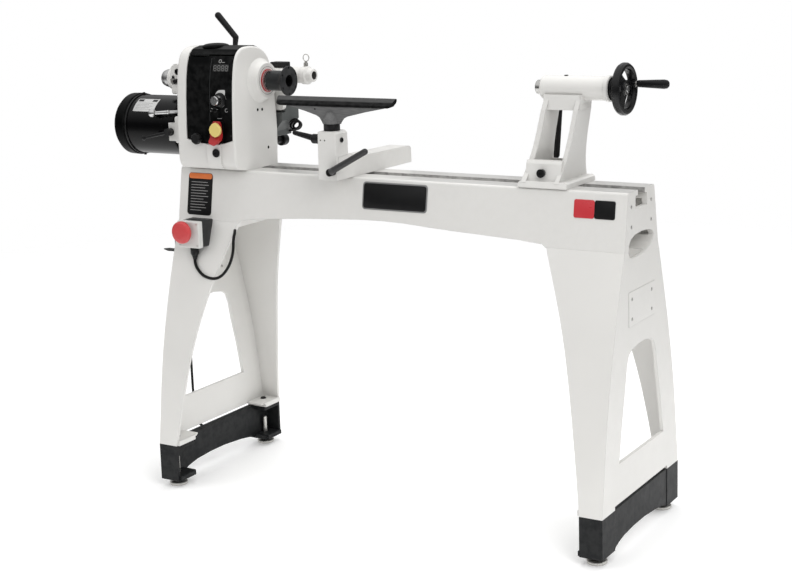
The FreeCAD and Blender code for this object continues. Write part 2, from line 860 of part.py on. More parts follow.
def door_knob():
    knob = lathe(
        "Knob", "y", KNOB_X, 0, KNOB_Z,
        [
            (-112, 0), (-112, 4.4), (-128.5, 4.4), (-128.5, 11), (-132, 15), (-140, 15),
            (-143, 12), (-143, 0),
        ],
    )
    flutes = []
    for i in range(6):
        x, z = polar(KNOB_X, KNOB_Z, 17.5, 60 * i)
        flutes.append(bar("y", x, -145, z, 4.5, 15))
    return cut(knob, *flutes)


def speed_dial():
    dial = lathe(
        "Dial", "y", DIAL_X, 0, DIAL_Z,
        [
            (-100, 0), (-100, 4), (-122.6, 4), (-122.6, 18.5), (-125, 18.5), (-128, 13.5),
            (-145, 12.5), (-147.5, 11), (-147.5, 0),
        ],
    )
    return fuse(dial, box(DIAL_X - 1, DIAL_X + 1, -149, -140, DIAL_Z + 1, DIAL_Z + 12))


def direction_toggle():
    return lathe(
        "Toggle", "y", TOGGLE_X, 0, TOGGLE_Z,
        [
            (-108, 0), (-108, 3), (-123.2, 3), (-123.2, 5.5), (-125.0, 5.5), (-125.0, 2.6),
            (-136, 3.6), (-138, 2.2), (-138, 0),
        ],
    )


def switch_paddle():
    stem = prism(
        "PaddleStem", "yz",
        [(-112, 957), (-112, 998), (-131, 1000), (-131, 957)],
        -498.5, -480.5,
    )
    side = prism(
        "PaddleSide", "yz",
        [
            (-130.2, 1004), (-134, 1007.5), (-141, 996), (-141, 966), (-155.5, 950),
            (-151, 943.5), (-135, 957), (-130.2, 965),
        ],
        -520, -460,
    )
    front = prism(
        "PaddleFront", "xz",
        [
            (-501.5, 1008), (-481, 1008), (-478, 992), (-476, 972), (-477, 956),
            (-481.5, 948), (-492, 943), (-504, 948), (-509, 956), (-510, 972), (-507, 992),
        ],
        -160, -125,
    )
    face = rounded(
        common(side, front), 1.2, lambda span: span.YMax < -140 and span.XLength > 20
    )
    paddle = fuse(stem, face, bar("x", -502, SWITCH_PIN_Y, SWITCH_PIN_Z, 2.0, 25))
    return cut(paddle, box(-493.5, -485.5, -150, -118, 978, 990))


def safety_key():
    head = prism(
        "KeyHead", "xz",
        [
            (-488.5, 1005), (-480, 1001.5), (-473, 994), (-470, 986), (-472, 977),
            (-479.5, 969.5), (-488.5, 966), (-498, 969.5), (-505.5, 977), (-507.5, 986),
            (-504.5, 994), (-497.5, 1001.5),
        ],
        -149, -141.6,
    )
    head = rounded(head, 1.8, lambda span: span.YMax < -148.9)
    return fuse(head, box(-493.3, -485.7, -143, -120, 978.2, 989.8))


# ---------------------------------------------------------------- spindle and belt drive
NOSE_END = -372
NOSE_SHOULDER = -404
GROOVES = 6


def spindle():
    radius, bore, nose = dims.spindle_radius, dims.spindle_bore_radius, dims.nose_radius
    return lathe(
        "Spindle", "x", 0, 0, AXIS_Z,
        [
            # threaded nose and its collar
            (NOSE_END, bore + 3), (NOSE_END, nose - 1.5), (NOSE_END - 1.5, nose),
            (NOSE_SHOULDER, nose), (NOSE_SHOULDER, radius), (-409.0, radius),
            (-409.0, 25.4), (-413, 25.4), (-413, radius), (-742.0, radius),
            # knob on the left end
            (-742.0, 24), (-744, 25.5), (-752, 25.5), (-758, 24), (-766, 21), (-768, 19),
            (-768, bore), (-392, bore),
        ],
    )


def bearing(x):
    inner, outer, width = dims.spindle_radius, dims.bearing_radius, dims.bearing_width
    return lathe(
        "Bearing", "x", x, 0, AXIS_Z,
        [
            (0, inner + 0.03), (0, inner + 4), (1.2, inner + 4.6), (1.2, outer - 4.6),
            (0, outer - 4), (0, outer), (width, outer), (width, outer - 4),
            (width - 1.2, outer - 4.6), (width - 1.2, inner + 4.6), (width, inner + 4),
            (width, inner + 0.03),
        ],
    )


def spindle_bearings():
    return group(bearing(dims.boss_face - 5 - dims.bearing_width), bearing(HEAD_LEFT + 10))


def nose_ring():
    return lathe(
        "SealRing", "x", 0, 0, AXIS_Z,
        [(-416, 25.9), (-416, 31), (-413.4, 31), (-412.4, 30), (-412.4, 25.9)],
    )


def pulley(name, y, z, radius, bore):
    """A flanged pulley with V grooves round its rim."""
    left, width = dims.pulley_left, dims.pulley_width
    flange = radius + 3
    points = [(left, bore), (left, flange), (left + 2, flange), (left + 3, radius)]
    pitch = (width - 6) / GROOVES
    for i in range(GROOVES):
        start = left + 3 + pitch * i
        points += [(start + pitch / 2, radius - 2.4), (start + pitch, radius)]
    points += [(left + width - 2, flange), (left + width, flange), (left + width, bore)]
    return lathe(name, "x", 0, y, z, points)


def spindle_pulley():
    return pulley(
        "SpindlePulley", 0, AXIS_Z, dims.spindle_pulley_radius, dims.spindle_radius + 0.02
    )


def motor_pulley():
    return pulley(
        "MotorPulley", dims.motor_y, dims.motor_z, dims.motor_pulley_radius,
        dims.shaft_radius + 0.02,
    )


def belt_face(offset):
    """The loop round both pulleys as a flat face, offset from their rims."""
    top_radius = dims.spindle_pulley_radius.number + offset
    low_radius = dims.motor_pulley_radius.number + offset
    top = point(0, 0, AXIS_Z)
    low = point(0, dims.motor_y, dims.motor_z)
    line = low - top
    middle = math.atan2(line.z, line.y)
    spread = math.acos((top_radius - low_radius) / line.Length)
    after, before = middle + spread, middle - spread

    def on(centre, radius, angle):
        return centre + Vector(0, radius * math.cos(angle), radius * math.sin(angle))

    top_after, top_before = on(top, top_radius, after), on(top, top_radius, before)
    low_after, low_before = on(low, low_radius, after), on(low, low_radius, before)
    edges = [
        Part.Arc(top_after, on(top, top_radius, middle + math.pi), top_before).toShape(),
        Part.LineSegment(top_before, low_before).toShape(),
        Part.Arc(low_before, on(low, low_radius, middle), low_after).toShape(),
        Part.LineSegment(low_after, top_after).toShape(),
    ]
    return Part.Face(Part.Wire(edges))


def drive_belt():
    belt = doc.addObject("Part::Feature", "Belt")
    across = point(dims.pulley_width - 8, 0, 0)
    belt.Shape = belt_face(3.2).extrude(across).cut(belt_face(0.25).extrude(across))
    return group(place(belt, dims.pulley_left + 4, 0, 0))


def faceplate():
    face, radius, hub = dims.faceplate_face, dims.faceplate_radius, dims.faceplate_hub_radius
    nose, back = dims.nose_radius, dims.faceplate_face - dims.faceplate_thickness
    disc = lathe(
        "Faceplate", "x", 0, 0, AXIS_Z,
        [
            (face, nose), (face, radius - 1), (face - 1, radius), (face - 3.5, radius),
            (face - 4.5, radius - 1), (face - 6.5, radius - 5), (back, hub + 4.2),
            (back - 5, hub + 1.3), (back - 10, hub), (NOSE_SHOULDER + 1, hub),
            (NOSE_SHOULDER, hub - 1), (NOSE_SHOULDER, nose + 0.05), (NOSE_END, nose + 0.05),
            (NOSE_END, nose),
        ],
    )
    holes = []
    for i in range(6):
        y, z = polar(0, AXIS_Z, dims.faceplate_pcd_radius, 30 + 60 * i)
        holes.append(bar("x", face - 20, y, z, dims.faceplate_hole_radius, 30))
    hub_hole = rod((-397, *polar(0, AXIS_Z, 10, 125)), (-397, *polar(0, AXIS_Z, 40, 125)), 3.05)
    return cut(disc, *holes, hub_hole)


def index_pin():
    return lathe(
        "IndexPin", "y", INDEX_PIN_X, 0, INDEX_PIN_Z,
        [(-19.5, 0), (-19.5, 8), (-35.5, 8), (-36.5, 7), (-36.5, 5), (-33, 4), (-33, 0)],
    )


def spindle_lock_pin():
    return lathe(
        "LockPin", "y", -705, 0, 1100, [(-24.5, 0), (-24.5, 6), (-39, 6), (-41, 4.5), (-41, 0)]
    )


# ---------------------------------------------------------------- motor
MOTOR_Y, MOTOR_Z, MOTOR_RADIUS = dims.motor_y, dims.motor_z, dims.motor_radius
PLATE_LEFT = -690
# height from the motor's axis and half width of each slot in the fan cover
FAN_SLOTS = [
    (-48, 34), (-36, 46), (-24, 54), (-12, 58), (0, 60), (12, 58), (24, 54), (36, 46), (48, 34)
]
# (distance from the hub, radius) along the motor lock lever
LOCK_ARM = [
    (0, 0), (0, 5), (12, 4.9), (70, 3.9), (74.5, 3.9), (75.5, 5.2), (77.5, 6.4), (80.5, 7),
    (83.5, 6.4), (86, 4.6), (87.3, 2.2), (87.6, 0),
]


def motor_body():
    joint = dims.fan_cover_left
    return lathe(
        "MotorBody", "x", 0, MOTOR_Y, MOTOR_Z,
        [
            (PLATE_LEFT, 0), (PLATE_LEFT, 60), (-697, 74), (-703, MOTOR_RADIUS - 1),
            (-706, MOTOR_RADIUS), (joint + 8, MOTOR_RADIUS), (joint + 8, MOTOR_RADIUS + 2.5),
            (joint, MOTOR_RADIUS + 2.5), (joint, 0),
        ],
    )


def motor_plate():
    slab = rounded(
        box(PLATE_LEFT, HEAD_LEFT - 6, MOTOR_Y - 46, MOTOR_Y + 62, MOTOR_Z - 62, MOTOR_Z + 62),
        12,
        lambda span: span.XLength > 30,
    )
    shaft_hole = bar("x", -700, MOTOR_Y, MOTOR_Z, dims.shaft_radius + 1.0, 80)
    return fuse(cut(slab, shaft_hole), bar("x", -650, PEG_Y, MOTOR_Z, 4.0, 28))


def motor_fan_cover():
    left, joint = dims.motor_left, dims.fan_cover_left
    cover = lathe(
        "FanCover", "x", 0, MOTOR_Y, MOTOR_Z,
        [
            (joint, 0), (joint, MOTOR_RADIUS + 4), (joint - 3, MOTOR_RADIUS + 5),
            (joint - 30, MOTOR_RADIUS + 4), (left + 4, MOTOR_RADIUS - 4),
            (left, MOTOR_RADIUS - 14), (left, 0),
        ],
    )
    slots = [
        box(left - 5, left + 4, MOTOR_Y - half, MOTOR_Y + half,
            MOTOR_Z + rise - 2.5, MOTOR_Z + rise + 2.5)
        for rise, half in FAN_SLOTS
    ]
    return cut(cover, *slots)


def motor_shaft():
    radius = dims.shaft_radius
    return lathe(
        "MotorShaft", "x", 0, MOTOR_Y, MOTOR_Z,
        [(-689.5, 0), (-689.5, radius), (-561, radius), (-559, radius - 2), (-559, 0)],
    )


def tension_handle():
    elbow = (-712, -65, 1018)
    handle = fuse(
        rod((-660, -22, 1018.4), elbow, 4.8),
        rod(elbow, (-756, -71.5, 1015), 5.2, 4.6),
        ball(-762.5, -72, 1014.7, 12),
        ball(*elbow, 6.0),
    )
    return cut(handle, box(-700, -640, -26, 0, 1000, 1040))


def turned_handle(name, points, x, y, z, direction):
    """A turned handle that starts at x, y, z and points along a direction."""
    handle = group(lathe(name, "z", 0, 0, 0, points))
    return place(handle, x, y, z, Rotation(Vector(0, 0, 1), Vector(*direction)))


def motor_lock_lever():
    return fuse(
        bar("y", LOCK_LEVER_X, -92, LOCK_LEVER_Z, 11, 17),
        bar("y", LOCK_LEVER_X, -76, LOCK_LEVER_Z, 4.0, 8),
        turned_handle("LockArm", LOCK_ARM, LOCK_LEVER_X, -84, LOCK_LEVER_Z, (-78, -14, -17)),
    )


# ---------------------------------------------------------------- drive box and rear arm
ARM_Y, ARM_Z = 104.0, 1112.0
ARM_PIN_X = -361


def drive_box():
    body = prism(
        "DriveBox", "xz",
        [
            (-524, 935), (-524, 1049), (-434, 1049), (-428, 1043), (-428, 988), (-454, 958),
            (-456, 943), (-492, 935),
        ],
        76, 158,
    )
    body = rounded(
        body, 3,
        lambda span: span.YMin > 157.9 or (span.YLength > 80 and span.ZMin > 1040),
    )
    return cut(body, box(-480, -410, 70, 92, 1010, 1060))


def rear_arm():
    block = rounded(
        box(-545, -470, 78, 128, 1084, 1141), 9,
        lambda span: span.YMin > 127.9 or span.YLength > 40,
    )
    tube = lathe(
        "ArmTube", "x", 0, ARM_Y, ARM_Z,
        [
            (-500, 0), (-500, 25), (-430, 24), (-410, 22), (-371, 22.0), (-368, 25),
            (-354, 25), (-350.5, 20), (-337, 18), (-335, 16.5), (-335, 0),
        ],
    )
    rib = prism(
        "ArmRib", "xz",
        [(-468, 1017), (-431, 1017), (-425, 1023), (-421, 1036), (-421, 1100), (-468, 1100)],
        76, 91.5,
    )
    rib = rounded(rib, 2, lambda span: span.YLength > 10)
    return cut(
        fuse(block, tube, rib),
        bar("x", -387, ARM_Y, ARM_Z, 11, 60),
        bar("z", ARM_PIN_X, ARM_Y, ARM_Z, 3.6, 40),
    )


def arm_pin():
    pull_ring = primitive(
        "Torus", ARM_PIN_X + 1.5, ARM_Y, ARM_Z + 47.5, AXES["y"], Radius1=9.5, Radius2=1.2
    )
    return fuse(
        bar("z", ARM_PIN_X, ARM_Y, ARM_Z + 12, 3.5, 27),
        bar("z", ARM_PIN_X, ARM_Y, ARM_Z + 25.2, 6, 9),
        pull_ring,
    )


# ---------------------------------------------------------------- eccentric clamps
HEAD_STUD_X = dims.head_cam_x - dims.eccentric
TAIL_STUD_X = dims.tail_cam_x - dims.eccentric


def clamp_bolt(x, z):
    """An eye that goes round an eccentric, with a stud down through the bed's slot."""
    eye = bar("y", x, -13, z, 15, 26)
    stud = bar("z", x, 0, STUD_BOTTOM, STUD_RADIUS, z - STUD_BOTTOM - 9)
    return cut(fuse(eye, stud), bar("y", x, -18, z, dims.cam_radius + 1.0, 36))


def clamp_plate(name, x, width):
    """The plate and nut that bear on the underside of the bed's lips."""
    top = LIP_BOTTOM - 0.3
    half = width / 2
    slab = rounded(
        box(x - half, x + half, -32, 32, top - 11, top), 3, lambda span: span.ZLength > 5
    )
    slot_key = box(
        x - half + 6, x + half - 6, -SLOT_HALF + 0.6, SLOT_HALF - 0.6, top - 5, top + 5
    )
    nut = hexagon(name + "Nut", x, 0, 10, top - 20, top - 10.5)
    return cut(fuse(slab, slot_key, nut), bar("z", x, 0, top - 40, STUD_RADIUS + 0.02, 60))


def cam_shaft(x, z, y0, y1):
    """A straight shaft whose middle is turned off-centre."""
    journal = dims.journal_radius
    return fuse(
        bar("y", x, y0, z, journal, -14.5 - y0),
        bar("y", x - dims.eccentric, -15, z, dims.cam_radius, 30),
        bar("y", x, 14.5, z, journal, y1 - 14.5),
    )


def lever_hub(x, y, z, radius, length):
    return rounded(bar("y", x, y, z, radius, length), 3, lambda span: span.YLength < 0.01)


def headstock_clamp_bolt():
    return clamp_bolt(HEAD_STUD_X, dims.head_cam_z)


def headstock_clamp_plate():
    return clamp_plate("HeadClamp", HEAD_STUD_X, 70)


def tailstock_clamp_bolt():
    return clamp_bolt(TAIL_STUD_X, dims.tail_cam_z)


def tailstock_clamp_plate():
    return clamp_plate("TailClamp", TAIL_STUD_X, 70)


def headstock_clamp_lever():
    x, z, lever_y = dims.head_cam_x, dims.head_cam_z, 173
    elbow = (-651, lever_y, 1182)
    bend = (-647, lever_y, 1209)
    tip = (-706, lever_y, 1271)
    return fuse(
        cut(cam_shaft(x, z, -133, 163), bar("y", x, -140, z, 4, 14)),
        lever_hub(x, 162, z, 17, 22),
        rod((x, lever_y, z), elbow, 7, 6.5),
        ball(*elbow, 6.8),
        rod(elbow, bend, 6.8, 8.5),
        ball(*bend, 8.5),
        rod(bend, tip, 8.5, 9.5),
        ball(*tip, 9.5),
    )


# ---------------------------------------------------------------- tailstock
WALL_BOTTOM = BED_TOP + 12
WALL_TOP = 1092
# (half width, z) up each end wall
WALL_SPREAD = [
    (82, WALL_BOTTOM), (77, 892), (66, 910), (55, 935), (47, 965), (42, 1000), (39, 1055),
    (30, WALL_TOP),
]
# (distance from the lower end, radius) along the tailstock lever's grip
TAIL_GRIP = [
    (0, 0), (0, 7), (1.5, 8.5), (6, 9.8), (40, 9.4), (194, 6.8), (198.5, 5.5), (200, 3), (200, 0)
]
# radius and angle from the window's middle, round each handwheel window
WHEEL_WINDOW = [
    (46.8, -44), (46.8, -25), (47.2, 0), (46.8, 25), (46.8, 44), (38, 41), (26, 24),
    (21.5, 0), (26, -24), (38, -41),
]
HANDLE_Y, HANDLE_Z = polar(0, AXIS_Z, 45.9, 11.3)


def tail_wall(name, x_low, x_high, thickness):
    """One end wall: wide at the bed, narrow under the barrel, leaning towards the handwheel."""
    lean = prism(
        name + "Lean", "xz",
        [
            (x_low, WALL_BOTTOM), (x_low + thickness, WALL_BOTTOM),
            (x_high + thickness, WALL_TOP), (x_high, WALL_TOP),
        ],
        -100, 100,
    )
    front = [(-half, z) for half, z in WALL_SPREAD]
    spread = prism(name + "Spread", "yz", front + WALL_SPREAD[::-1], 350, 560)
    return common(lean, spread)


def tailstock_casting():
    foot = prism(
        "TailFoot", "yz",
        [
            (-84, BED_TOP), (84, BED_TOP), (84, BED_TOP + 3), (80, BED_TOP + 16),
            (-80, BED_TOP + 16), (-84, BED_TOP + 3),
        ],
        dims.tail_left + 16, dims.tail_right + 4,
    )
    foot = chamfered(
        foot, 5, lambda span: span.YLength > 150 and span.ZMin > BED_TOP.number + 15.9
    )
    left_wall = tail_wall("TailLeft", 383, 428, 13)
    right_wall = tail_wall("TailRight", 472, 512, 12)
    front_housing = prism(
        "TailHousing", "yz",
        [(-74, BED_TOP + 10), (-66, 928), (-62, 935), (-50, 936), (-50, BED_TOP + 10)],
        392, 486,
    )
    rear_housing = prism(
        "TailHousingRear", "yz",
        [(76, BED_TOP + 10), (66, 924), (50, 926), (50, BED_TOP + 10)],
        392, 486,
    )
    saddle = box(424, 520, -33, 33, 1055, WALL_TOP)
    left, right, radius = dims.barrel_left, dims.barrel_right, dims.barrel_radius
    barrel = lathe(
        "Barrel", "x", 0, 0, AXIS_Z,
        [
            (left, 0), (left, radius - 3), (left + 3, radius), (right - 12, radius),
            (right - 11, radius + 2.5), (right - 2, radius + 2.5), (right, radius), (right, 0),
        ],
    )
    tenon = box(388, 478, -SLOT_HALF + 0.1, SLOT_HALF - 0.1, BED_TOP - 7.4, BED_TOP + 2)
    return cut(
        fuse(foot, left_wall, right_wall, front_housing, rear_housing, saddle, barrel, tenon),
        bar("x", left - 5, 0, AXIS_Z, dims.quill_radius + 0.03, 171),
        bar("x", left + 150, 0, AXIS_Z, dims.screw_radius + 0.1, 40),
        bar("y", dims.tail_cam_x, -100, dims.tail_cam_z, dims.journal_radius + 0.05, 220),
        bar("z", TAIL_STUD_X, 0, BED_TOP - 20, STUD_RADIUS + 0.5, 60),
    )


def quill():
    radius, nose = dims.quill_radius, dims.quill_nose
    screw_bore = dims.screw_radius + 0.1
    body = lathe(
        "Quill", "x", 0, 0, AXIS_Z,
        [
            (nose, 8.9), (nose, radius - 1.5), (nose + 1.5, radius), (nose + 178, radius),
            (nose + 178, screw_bore), (nose + 60, screw_bore), (nose + 60, 7.35),
        ],
    )
    keyway = box(nose + 20, nose + 176, radius - 3, radius + 2, AXIS_Z - 2.5, AXIS_Z + 2.5)
    return cut(body, keyway)


def leadscrew():
    left, right, radius = dims.quill_nose + 64, dims.barrel_right + 41.5, dims.screw_radius
    return lathe(
        "Leadscrew", "x", 0, 0, AXIS_Z,
        [(left, 0), (left, 6.5), (left + 2, radius), (right - 1, radius), (right, 7), (right, 0)],
    )


def handwheel():
    left, right, radius = dims.wheel_left, dims.wheel_right, dims.wheel_radius
    rim = lathe(
        "WheelRim", "x", 0, 0, AXIS_Z,
        [
            (right - 22, radius - 14), (right - 19, radius - 3), (right - 14, radius),
            (right - 6, radius), (right - 1, radius - 3.5), (right, radius - 9),
            (right - 2, radius - 14), (right - 8, radius - 16), (right - 16, radius - 16),
        ],
    )
    hub = lathe(
        "WheelHub", "x", 0, 0, AXIS_Z,
        [
            (left, 6), (left, 19), (left + 7, 20), (left + 9, 16), (right - 8, 16),
            (right - 4, 13), (right - 3, 6),
        ],
    )
    web = lathe(
        "WheelWeb", "x", 0, 0, AXIS_Z,
        [(right - 17, 10), (right - 18, radius - 12), (right - 11, radius - 12), (right - 9, 10)],
    )
    windows = [
        prism(
            "WheelWindow", "yz",
            [polar(0, AXIS_Z, reach, 71 + 120 * i + turn) for reach, turn in WHEEL_WINDOW],
            left - 5, right + 5,
        )
        for i in range(3)
    ]
    handle_boss = bar("x", right - 16, HANDLE_Y, HANDLE_Z, 9, 16.2)
    return cut(
        fuse(rim, hub, cut(web, *windows), handle_boss),
        bar("x", left - 5, 0, AXIS_Z, dims.screw_radius + 0.01, 60),
        bar("x", right - 20, HANDLE_Y, HANDLE_Z, 4.02, 30),
    )


def wheel_handle():
    right = dims.wheel_right
    grip = lathe(
        "Handle", "x", 0, HANDLE_Y, HANDLE_Z,
        [
            (right + 0.5, 0), (right + 0.5, 7), (right + 4, 7.5), (right + 7, 8.5),
            (right + 50, 10.4), (right + 72, 11.2), (right + 79, 10), (right + 82.5, 7),
            (right + 83, 0),
        ],
    )
    return fuse(grip, bar("x", right - 15.5, HANDLE_Y, HANDLE_Z, 4.0, 20))


def tailstock_clamp_lever():
    x, z, lever_y = dims.tail_cam_x, dims.tail_cam_z, 104
    elbow = (388, lever_y, 904)
    return fuse(
        cut(cam_shaft(x, z, -79, 96), bar("y", x, -85, z, 4, 12)),
        lever_hub(x, 95, z, 15, 18),
        rod((x, lever_y, z), elbow, 6.8, 6.5),
        ball(*elbow, 7),
        rod(elbow, (389.2, lever_y, 923), 5),
        turned_handle("TailGrip", TAIL_GRIP, 389, lever_y, 919, (19, 0, 199)),
    )


# ---------------------------------------------------------------- tool rest and its base
REST_X, REST_Y = dims.rest_x, dims.rest_y
REST_CAM_X, REST_CAM_Z = dims.rest_cam_x, dims.rest_cam_z
REST_JOURNAL_X = REST_CAM_X + dims.eccentric
REST_LOCK_Z = 972
COLLAR_TOP = 1012
NECK_BOTTOM = 1012.2


def tool_rest_base():
    left, right = dims.rest_base_left, dims.rest_base_right
    arm = prism(
        "BanjoArm", "yz",
        [
            (-143, BED_TOP), (-143, 930), (-88, 932), (-40, 921), (40, 919), (200, 917),
            (210, 915), (215, 909), (216, BED_TOP),
        ],
        left, right,
    )
    block = prism(
        "BanjoBlock", "xz",
        [
            (left, BED_TOP), (right, BED_TOP), (right - 2.5, 988), (right - 6, 993),
            (right - 10, 995), (left + 8, 995), (left + 4, 993), (left + 1.5, 988),
        ],
        -150, -96,
    )
    block = rounded(block, 4, lambda span: span.YMax < -149 and span.ZLength > 60)
    return cut(
        fuse(arm, block),
        box(REST_CAM_X - 13, REST_CAM_X + 13, -86, 203, BED_TOP - 5, 912),
        bar("z", REST_X, REST_Y, 902, dims.post_radius + 0.05, 112),
        bar("y", REST_JOURNAL_X, -160, REST_CAM_Z, 7.05, 385),
        bar("x", -200, REST_Y, REST_LOCK_Z, 5.05, 58),
    )


def rest_clamp_bolt():
    eye = common(
        bar("y", REST_CAM_X, -12, REST_CAM_Z, 15, 24),
        box(REST_CAM_X - 12, REST_CAM_X + 12, -20, 20, 870, 911),
    )
    return cut(
        fuse(eye, bar("z", REST_CAM_X, 0, STUD_BOTTOM, STUD_RADIUS, 46)),
        bar("y", REST_CAM_X, -20, REST_CAM_Z, 7.2, 40),
    )


def rest_clamp_plate():
    return clamp_plate("RestClamp", REST_CAM_X, 60)


def rest_clamp_lever():
    knuckle = (REST_JOURNAL_X, -168, REST_CAM_Z)
    tip = (-3, -172, 952)
    return fuse(
        bar("y", REST_JOURNAL_X, -160, REST_CAM_Z, 7.0, 75),
        bar("y", REST_CAM_X, -86, REST_CAM_Z, 5.6, 285),
        bar("y", REST_JOURNAL_X, 198.5, REST_CAM_Z, 7.0, 15),
        bar("y", *knuckle, 10, 17.5),
        ball(*knuckle, 10),
        rod(knuckle, tip, 8.5, 8.0),
        ball(*tip, 8.0),
    )


def rest_collar():
    radius = dims.collar_radius
    ring = lathe(
        "Collar", "z", REST_X, REST_Y, 0,
        [
            (995.3, 0), (995.3, radius - 1), (996.3, radius), (COLLAR_TOP - 1, radius),
            (COLLAR_TOP, radius - 1), (COLLAR_TOP, 0),
        ],
    )
    return cut(ring, bar("z", REST_X, REST_Y, 990, dims.post_radius + 0.05, 40))


# (y, z) round the section of the rest's blade
BLADE_SECTION = [
    (-97, 1077), (-101, 1078.2), (-104, 1077), (-132, 1062.5), (-133.5, 1059.5),
    (-131.5, 1056.5), (-128, 1056), (-119, 1057), (-101, 1067), (-97, 1072),
]
# (x from the post, z) of the blade's front view and of the web under it
BLADE_FRONT = [
    (-179, 1080), (-179, 1075.5), (-163, 1060), (-150, 1054), (165, 1054), (179, 1060),
    (179, 1080),
]
REST_WEB = [
    (-150, 1060), (166, 1060), (160, 1055.5), (100, 1044), (44, 1031), (34, 1026), (26, 1016),
    (24.5, NECK_BOTTOM), (-24.5, NECK_BOTTOM), (-26, 1016), (-34, 1028), (-44, 1033.5),
    (-80, 1044), (-130, 1055.5),
]


def tool_rest():
    blade = common(
        prism("RestBlade", "yz", BLADE_SECTION, REST_X - 179, REST_X + 179),
        prism("BladeEnds", "xz", [(REST_X + x, z) for x, z in BLADE_FRONT], -150, -90),
    )
    web = prism("RestWeb", "xz", [(REST_X + x, z) for x, z in REST_WEB], -129.5, -118)
    neck = lathe(
        "RestNeck", "z", REST_X, REST_Y, 0,
        [(NECK_BOTTOM, 0), (NECK_BOTTOM, 22), (1024, 21), (1040, 12), (1046, 0)],
    )
    return fuse(blade, web, neck, bar("z", REST_X, REST_Y, 903, dims.post_radius, 117))


def rest_lock_lever():
    tip = (-246, REST_Y, 985)
    hub = lathe(
        "RatchetHub", "x", 0, REST_Y, REST_LOCK_Z,
        [(-192, 0), (-192, 9), (-188, 12.5), (-166, 12.5), (-161.5, 10), (-161.5, 0)],
    )
    return fuse(
        bar("x", -160.8, REST_Y, REST_LOCK_Z, 5.0, 17.5),
        hub,
        rod((-184, REST_Y, 973), tip, 8.5, 6),
        ball(*tip, 6),
    )


# ---------------------------------------------------------------- stop and hook on the left leg
STOP_X, STOP_Z = -590.0, 709.0


def stop_box():
    lid = rounded(
        box(-618, -545, -168, -152, 664, 737), 3,
        lambda span: span.YMax < -167.9 or (span.YLength > 10 and span.YMax < -150),
    )
    case = rounded(box(-617, -546, -152, -96, 665, 736), 3, lambda span: span.YLength > 30)
    cable_gland = bar("z", -583, -142, 642, 9.5, 26)
    # The case is shaped to the leg and bed that it sits against.
    return cut(
        fuse(lid, case, cable_gland),
        mirrored(leg_block("LeftLegForm")),
        box(-700, -500, -103.4, -80, 728, 745),
        bar("y", STOP_X, -180, STOP_Z, 11.05, 50),
    )


def stop_button():
    return lathe(
        "StopButton", "y", STOP_X, 0, STOP_Z,
        [
            (-140, 0), (-140, 11), (-175, 11), (-175, 20), (-178, 28), (-182, 30.5),
            (-189, 30), (-193, 26), (-195, 17), (-195.6, 0),
        ],
    )


def tool_hook():
    shelf = prism(
        "HookPlate", "xy",
        [(-664, -100), (-664, -124), (-690, -126), (-716, -112), (-706, -100)],
        640, 643,
    )
    return cut(
        fuse(box(-667, -663, -122, -100, 640, 690), shelf),
        bar("x", -670, -111, 662, 3.2, 10),
        bar("x", -670, -111, 680, 3.2, 10),
    )


# ---------------------------------------------------------------- build and write
# Each function's name is its piece's label and file name.
PIECES = [
    bed, right_leg, left_leg, right_riser, left_riser, frame_bolts, jam_nuts,
    headstock_casting, control_panel, belt_door, top_cover, door_knob, speed_dial,
    direction_toggle, switch_paddle, safety_key,
    spindle, spindle_bearings, nose_ring, spindle_pulley, motor_pulley, drive_belt,
    faceplate, index_pin, spindle_lock_pin,
    motor_body, motor_plate, motor_fan_cover, motor_shaft, tension_handle, motor_lock_lever,
    drive_box, rear_arm, arm_pin,
    headstock_clamp_bolt, headstock_clamp_plate, tailstock_clamp_bolt, tailstock_clamp_plate,
    headstock_clamp_lever,
    tailstock_casting, quill, leadscrew, handwheel, wheel_handle, tailstock_clamp_lever,
    tool_rest_base, rest_clamp_bolt, rest_clamp_plate, rest_clamp_lever, rest_collar,
    tool_rest, rest_lock_lever,
    stop_box, stop_button, tool_hook,
]
# label, side along x, side along y
FEET = [
    ("foot_front_left", -1, -1),
    ("foot_front_right", 1, -1),
    ("foot_rear_left", -1, 1),
    ("foot_rear_right", 1, 1),
]


def finish(obj, label):
    """Label a piece and carry it to the machine's origin."""
    obj.Label = label
    return place(obj, dims.origin_x, 0, 0)


finished = [finish(build(), build.__name__) for build in PIECES]
finished += [finish(levelling_foot(x_side, y_side), label) for label, x_side, y_side in FEET]

doc.recompute()
for obj in doc.Objects:
    if "Invalid" in obj.State or "Error" in obj.State:
        raise RuntimeError("failed: %s %s %s" % (obj.Name, obj.Label, obj.State))
os.makedirs("parts", exist_ok=True)
for obj in finished:
    if obj.Shape.isNull() or not obj.Shape.isValid() or not obj.Shape.Solids:
        raise RuntimeError("bad shape: " + obj.Label)
    obj.Shape.exportStep("parts/%s.step" % obj.Label)
print("wrote", len(finished), "sub-parts")
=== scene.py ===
"""A lathe on two legs.

The bed runs along X, with the motor and headstock at -X and the tailstock at +X. The
operator stands at -Y, called the front here, and Z is up from the floor. Places and sizes
of parts are in millimetres from the middle of the bed. Lengths in materials, lights and
the floor are in metres.
"""

import math

import bmesh
import bpy
from mathutils import Matrix, Vector


